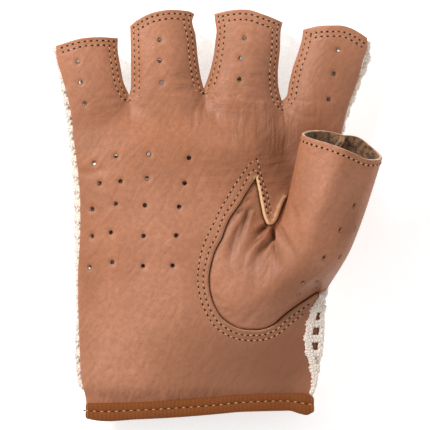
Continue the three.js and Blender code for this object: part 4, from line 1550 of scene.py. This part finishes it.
def seam_mesh(name, seams, pitch):
    """A mesh of points with the way the seam runs and faces at each, from lines of both in mm."""
    spots = []
    ways = []
    outs = []
    for path, normals in seams:
        along = np.append(0, np.cumsum(np.linalg.norm(np.diff(path, axis=0), axis=1)))
        count = max(2, round(along[-1] / pitch))
        at = (np.arange(count) + 0.5) * along[-1] / count
        ahead = np.gradient(path, axis=0)
        for values, kept in ((path, spots), (ahead, ways), (normals, outs)):
            kept.append(np.column_stack([np.interp(at, along, values[:, i]) for i in range(3)]))
    mesh = bpy.data.meshes.new(name)
    mesh.from_pydata(in_frame(np.vstack(spots)).tolist(), [], [])
    for label, values in (("seam_ahead", np.vstack(ways)), ("seam_out", np.vstack(outs))):
        values = values / np.linalg.norm(values, axis=1)[:, None]
        held = mesh.attributes.new(label, "FLOAT_VECTOR", "POINT")
        held.data.foreach_set("vector", values.astype(np.float32).ravel())
    return mesh


def on_palm(path):
    """A flat line laid on the palm leather, with the way the leather faces along it."""
    x, y = path.T
    high, _ = palm_relief(path)
    slope_x = hand_height(x + 0.3, y) - hand_height(x - 0.3, y)
    slope_y = hand_height(x, y + 0.3) - hand_height(x, y - 0.3)
    return np.column_stack([path, high + 0.1]), np.column_stack([-slope_x, -slope_y, 0.6 + 0 * x])


sewing = sewing_tree()
sewing_inputs = {
    "Stitch Size": [part / 1000 for part in STITCH_SIZE],
    "Hole Size": [part / 1000 for part in HOLE_SIZE],
    "Half Pitch": STITCH_PITCH / 2000,
    "Thread": beige_thread,
    "Shadow": needle_hole_shade,
}
front_line = thumb_grid[:, THUMB_COLUMNS // 4]
rim_line = np.argmin(np.abs(np.linalg.norm(front_line - front_line[-1], axis=1) - HEM_STITCHES))
rim_path = np.vstack([thumb_grid[rim_line], thumb_grid[rim_line][:1]])
rim_out = np.vstack([thumb_out[rim_line], thumb_out[rim_line][:1]])
for name, mesh in (
    ("palm_stitches", seam_mesh("palm_seams", [on_palm(row) for row in palm_rows], STITCH_PITCH)),
    ("thumb_stitches", seam_mesh("thumb_seams", [(rim_path + rim_out * 0.1, rim_out)], STITCH_PITCH)),
):
    piece = made_by(name, mesh, sewing, sewing_inputs)
    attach(piece, "root")

# The wrist is bound with a ribbed brown tape, folded over the leather and the crochet alike and
# held by one row of stitches. It runs a little askew, lower on the little finger's side.

TAPE_COLUMNS = 1840
RIB_PITCH = 0.55
RIB_DEPTH = 0.07

# Across the palm: the tape's upper and lower edge.
TAPE_EDGES = (
    (-49.4, 5.5, -0.6),
    (-44.5, 5.6, -1.5),
    (-27.6, 6.1, -0.9),
    (-10.6, 7.2, 0),
    (4.6, 8.2, 1.2),
    (15.8, 9.4, 2.2),
    (27.3, 9.9, 2.6),
    (36.4, 9.9, 2.3),
    (40, 9.8, 1.2),
    (43, 9.2, 0.8),
    (45.5, 7.7, 2.2),
)

# Across the back, where it runs straight.
TAPE_BACK = (
    (-49.4, 5.5, -0.6),
    (-20, 6, 0.2),
    (20, 7, 1.4),
    (45.5, 7.7, 2.2),
)

# From the outer edge round the fold to the inner edge: the share of the height, the distance out.
# The stitches lie in the groove.
TAPE_GROOVE = 5
TAPE_PROFILE = (
    (1, 0.1), (0.98, 0.62), (0.88, 0.86), (0.72, 0.92), (0.6, 0.86), (0.54, 0.56), (0.48, 0.86),
    (0.34, 0.98), (0.16, 0.98), (0.05, 0.72), (0, 0.15), (-0.01, -0.5), (0.03, -1.2),
    (0.14, -1.7), (0.4, -1.85), (0.75, -1.85), (0.97, -1.7), (1, -1.2),
)


def rib_tree():
    """Raises even ribs that run across a tape, by how far along the tape each point is."""
    tree, given, out = new_group(
        "tape_ribs",
        (
            ("Geometry", "NodeSocketGeometry", None),
            ("Rib Pitch", "NodeSocketFloat", 0.0008),
            ("Rib Depth", "NodeSocketFloat", 0.0001),
            ("Finish", "NodeSocketMaterial", None),
        ),
        (("Geometry", "NodeSocketGeometry"),),
        "GeometryNodeTree",
    )
    run = add_node(
        tree, "GeometryNodeInputNamedAttribute", {"Name": "tape_run"}, data_type="FLOAT"
    )
    wave = arithmetic(tree, "DIVIDE", run.outputs["Attribute"], given["Rib Pitch"])
    wave = arithmetic(tree, "SINE", arithmetic(tree, "MULTIPLY", wave, 2 * math.pi))
    wave = arithmetic(tree, "MULTIPLY", wave, given["Rib Depth"])
    normal = add_node(tree, "GeometryNodeInputNormal")
    push = add_node(
        tree, "ShaderNodeVectorMath", {0: normal.outputs[0], "Scale": wave}, operation="SCALE"
    )
    moved = add_node(
        tree, "GeometryNodeSetPosition",
        {"Geometry": given["Geometry"], "Offset": push.outputs[0]},
    )
    real = add_node(tree, "GeometryNodeRealizeInstances", {"Geometry": moved.outputs[0]})
    done = add_node(
        tree, "GeometryNodeSetMaterial",
        {"Geometry": real.outputs[0], "Material": given["Finish"]},
    )
    tree.links.new(done.outputs[0], out.inputs[0])
    return tree


brown_tape, tree, shader = new_finish("brown_tape", Specular_IOR_Level=0.25)
weave = placed_group(tree, grain, {"Pebbles": 3000.0, "Clouds": 90.0})
rib = arithmetic(tree, "MULTIPLY", attribute(tree, "tape_run"), 2 * math.pi / (RIB_PITCH / 1000))
rib = arithmetic(tree, "SINE", rib)
share = ranged(tree, rib, -1.0, 0.6, 0.0, 1.0)
tape = blended(tree, weave["Tone"], shade(136, 72, 26), shade(162, 92, 38))
# Painted shade in the grooves between the ribs.
tape = blended(tree, share, shade(98, 50, 18), tape)
tree.links.new(tape, shader.inputs["Base Color"])
roughened(tree, shader, weave["Tone"], 0.6, 0.25)
bumped(tree, shader, weave["Height"], 0.00006)

angle = np.linspace(0, 2 * math.pi, 2000)
left, right, _, middle, under = row_at(HAND_ROWS, 4)
ring_x, ring_z = oval(angle, left - 1.4, right + 0.5, middle, under, PALM_ROUNDNESS)
front = np.sin(angle) > 0
ring_z = np.where(front, hand_height(ring_x, np.full_like(ring_x, 8.0)) - 0.55, ring_z)
tape_ring = evenly(np.column_stack([ring_x, ring_x * 0, ring_z]), TAPE_COLUMNS + 1)
tape_run = np.append(0, np.cumsum(np.linalg.norm(np.diff(tape_ring, axis=0), axis=1)))
ribs = round(tape_run[-1] / RIB_PITCH)
tape_run = (tape_run * ribs * RIB_PITCH / tape_run[-1])[:-1]
tape_ring = tape_ring[:-1]
ahead = np.roll(tape_ring, -1, axis=0) - np.roll(tape_ring, 1, axis=0)
tape_out = np.column_stack([ahead[:, 2], ahead[:, 0] * 0, -ahead[:, 0]])
tape_out = tape_out / np.linalg.norm(tape_out, axis=1)[:, None]
in_front = ease(tape_ring[:, 2], middle - 1.5, middle + 3)[:, None]
front_edges = row_at(TAPE_EDGES, tape_ring[:, 0])
back_edges = row_at(TAPE_BACK, tape_ring[:, 0])
upper, lower = (front_edges * in_front + back_edges * (1 - in_front)).T
tape_points = np.array(
    [
        tape_ring + tape_out * out + np.outer(lower + (upper - lower) * share, (0, 1, 0))
        for share, out in TAPE_PROFILE
    ]
)
lines, columns = tape_points.shape[:2]
number = np.arange(lines * columns).reshape(lines, columns)
side = np.roll(number, -1, axis=1)
tape_faces = np.stack(
    [number, side, np.roll(side, -1, axis=0), np.roll(number, -1, axis=0)], axis=-1
).reshape(-1, 4)
tape_plain = new_piece(
    "tape_plain", tape_points.reshape(-1, 3), tape_faces.tolist(),
    {"tape_run": np.tile(tape_run / 1000, lines)}, (brown_tape,),
)
tape_mesh = tape_plain.data
bpy.data.objects.remove(tape_plain)
wrist_tape = made_by(
    "wrist_tape", tape_mesh, rib_tree(),
    {"Rib Pitch": RIB_PITCH / 1000, "Rib Depth": RIB_DEPTH / 1000, "Finish": brown_tape},
)
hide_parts("wrist_binding")
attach(wrist_tape, "root")

tape_seam = tape_points[TAPE_GROOVE] + tape_out * 0.12
tape_seam = np.vstack([tape_seam, tape_seam[:1]])
tape_stitches = made_by(
    "tape_stitches",
    seam_mesh("tape_seams", [(tape_seam, np.vstack([tape_out, tape_out[:1]]))], TAPE_STITCH_PITCH),
    sewing,
    sewing_inputs
    | {
        "Stitch Size": [part / 1000 for part in TAPE_STITCH_SIZE],
        "Hole Size": [part / 1000 for part in TAPE_HOLE_SIZE],
        "Half Pitch": TAPE_STITCH_PITCH / 2000,
    },
)
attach(tape_stitches, "root")

# The floor is a plain pale sheet that glows a little, and less under the palm and the fingers:
# a painted shadow under the glove. A pale sky, a soft lamp from the upper left and a weak one
# from the right light it. The camera looks straight down on the palm, from far enough off to
# keep the fingers parallel.

FLOOR_SIZE = 3.0
FINGER_PITCH = 0.033
CAMERA_LENS = 300
SENSOR = 36
VIEW_WIDTH = 0.1774
VIEW_HEIGHT = 0.022

floor_mesh = bpy.data.meshes.new("floor")
half = FLOOR_SIZE / 2
floor_mesh.from_pydata(
    [(-half, -half, 0), (half, -half, 0), (half, half, 0), (-half, half, 0)], [], [(0, 1, 2, 3)]
)
floor = bpy.data.objects.new("floor", floor_mesh)
bpy.context.scene.collection.objects.link(floor)


def off_centre(tree, where, centre, half_width):
    """How far a place is off the middle of a patch: 1 at the patch's edge."""
    away = arithmetic(tree, "ABSOLUTE", arithmetic(tree, "SUBTRACT", where, centre))
    return arithmetic(tree, "DIVIDE", away, half_width)


floor_finish, tree, shader = new_finish("pale_floor", Roughness=0.9)
speck = add_node(tree, "ShaderNodeTexNoise", {"Scale": 300.0})
tint = blended(tree, speck.outputs[0], shade(250, 250, 250), shade(254, 254, 254))
tree.links.new(tint, shader.inputs["Base Color"])
spot = add_node(tree, "ShaderNodeTexCoord").outputs["Object"]
spot = add_node(tree, "ShaderNodeSeparateXYZ", {0: spot})
palm_x = off_centre(tree, spot.outputs[0], -0.0065, 0.05)
palm_y = off_centre(tree, spot.outputs[1], -0.0165, 0.057)
under_hand = arithmetic(tree, "MAXIMUM", palm_x, palm_y)
finger_x = arithmetic(tree, "ADD", spot.outputs[0], 0.0526)
finger_x = arithmetic(tree, "PINGPONG", finger_x, FINGER_PITCH / 2)
finger_x = arithmetic(tree, "DIVIDE", finger_x, 0.0125)
finger_y = off_centre(tree, spot.outputs[1], 0.056, 0.015)
all_fingers = off_centre(tree, spot.outputs[0], -0.003, 0.059)
under_fingers = arithmetic(tree, "MAXIMUM", finger_x, finger_y)
under_fingers = arithmetic(tree, "MAXIMUM", under_fingers, all_fingers)
open_floor = arithmetic(tree, "MINIMUM", under_hand, under_fingers)
# Painted shadow: the floor glows less under the palm and the fingers.
glow = ranged(tree, open_floor, 0.6, 1.0, 0.12, 0.45)
tree.links.new(glow, shader.inputs["Emission Strength"])
shader.inputs["Emission Color"].default_value = (1, 1, 1, 1)
floor_mesh.materials.append(floor_finish)

sky = bpy.data.worlds.new("studio")
sky.use_nodes = True
sky.node_tree.nodes["Background"].inputs["Color"].default_value = (1, 1, 1, 1)
sky.node_tree.nodes["Background"].inputs["Strength"].default_value = 0.5
bpy.context.scene.world = sky
bpy.context.scene.view_settings.view_transform = "Standard"


def lamp(name, place, size, power):
    """A large square lamp that points at the glove."""
    light = bpy.data.lights.new(name, "AREA")
    light.size = size
    light.energy = power
    made = bpy.data.objects.new(name, light)
    made.location = place
    made.rotation_euler = Vector(place).to_track_quat("Z", "Y").to_euler()
    bpy.context.scene.collection.objects.link(made)


lamp("key", (-0.8, 0.6, 0.8), 0.5, 13.0)
lamp("fill", (0.9, -0.2, 1.1), 1.2, 2.8)

camera_data = bpy.data.cameras.new("camera")
camera_data.lens = CAMERA_LENS
camera_data.sensor_width = SENSOR
camera = bpy.data.objects.new("camera", camera_data)
camera.location = (-0.0001, 0.0003, VIEW_HEIGHT + CAMERA_LENS / SENSOR * VIEW_WIDTH)
camera_data.clip_end = 20
bpy.context.scene.collection.objects.link(camera)
bpy.context.scene.camera = camera
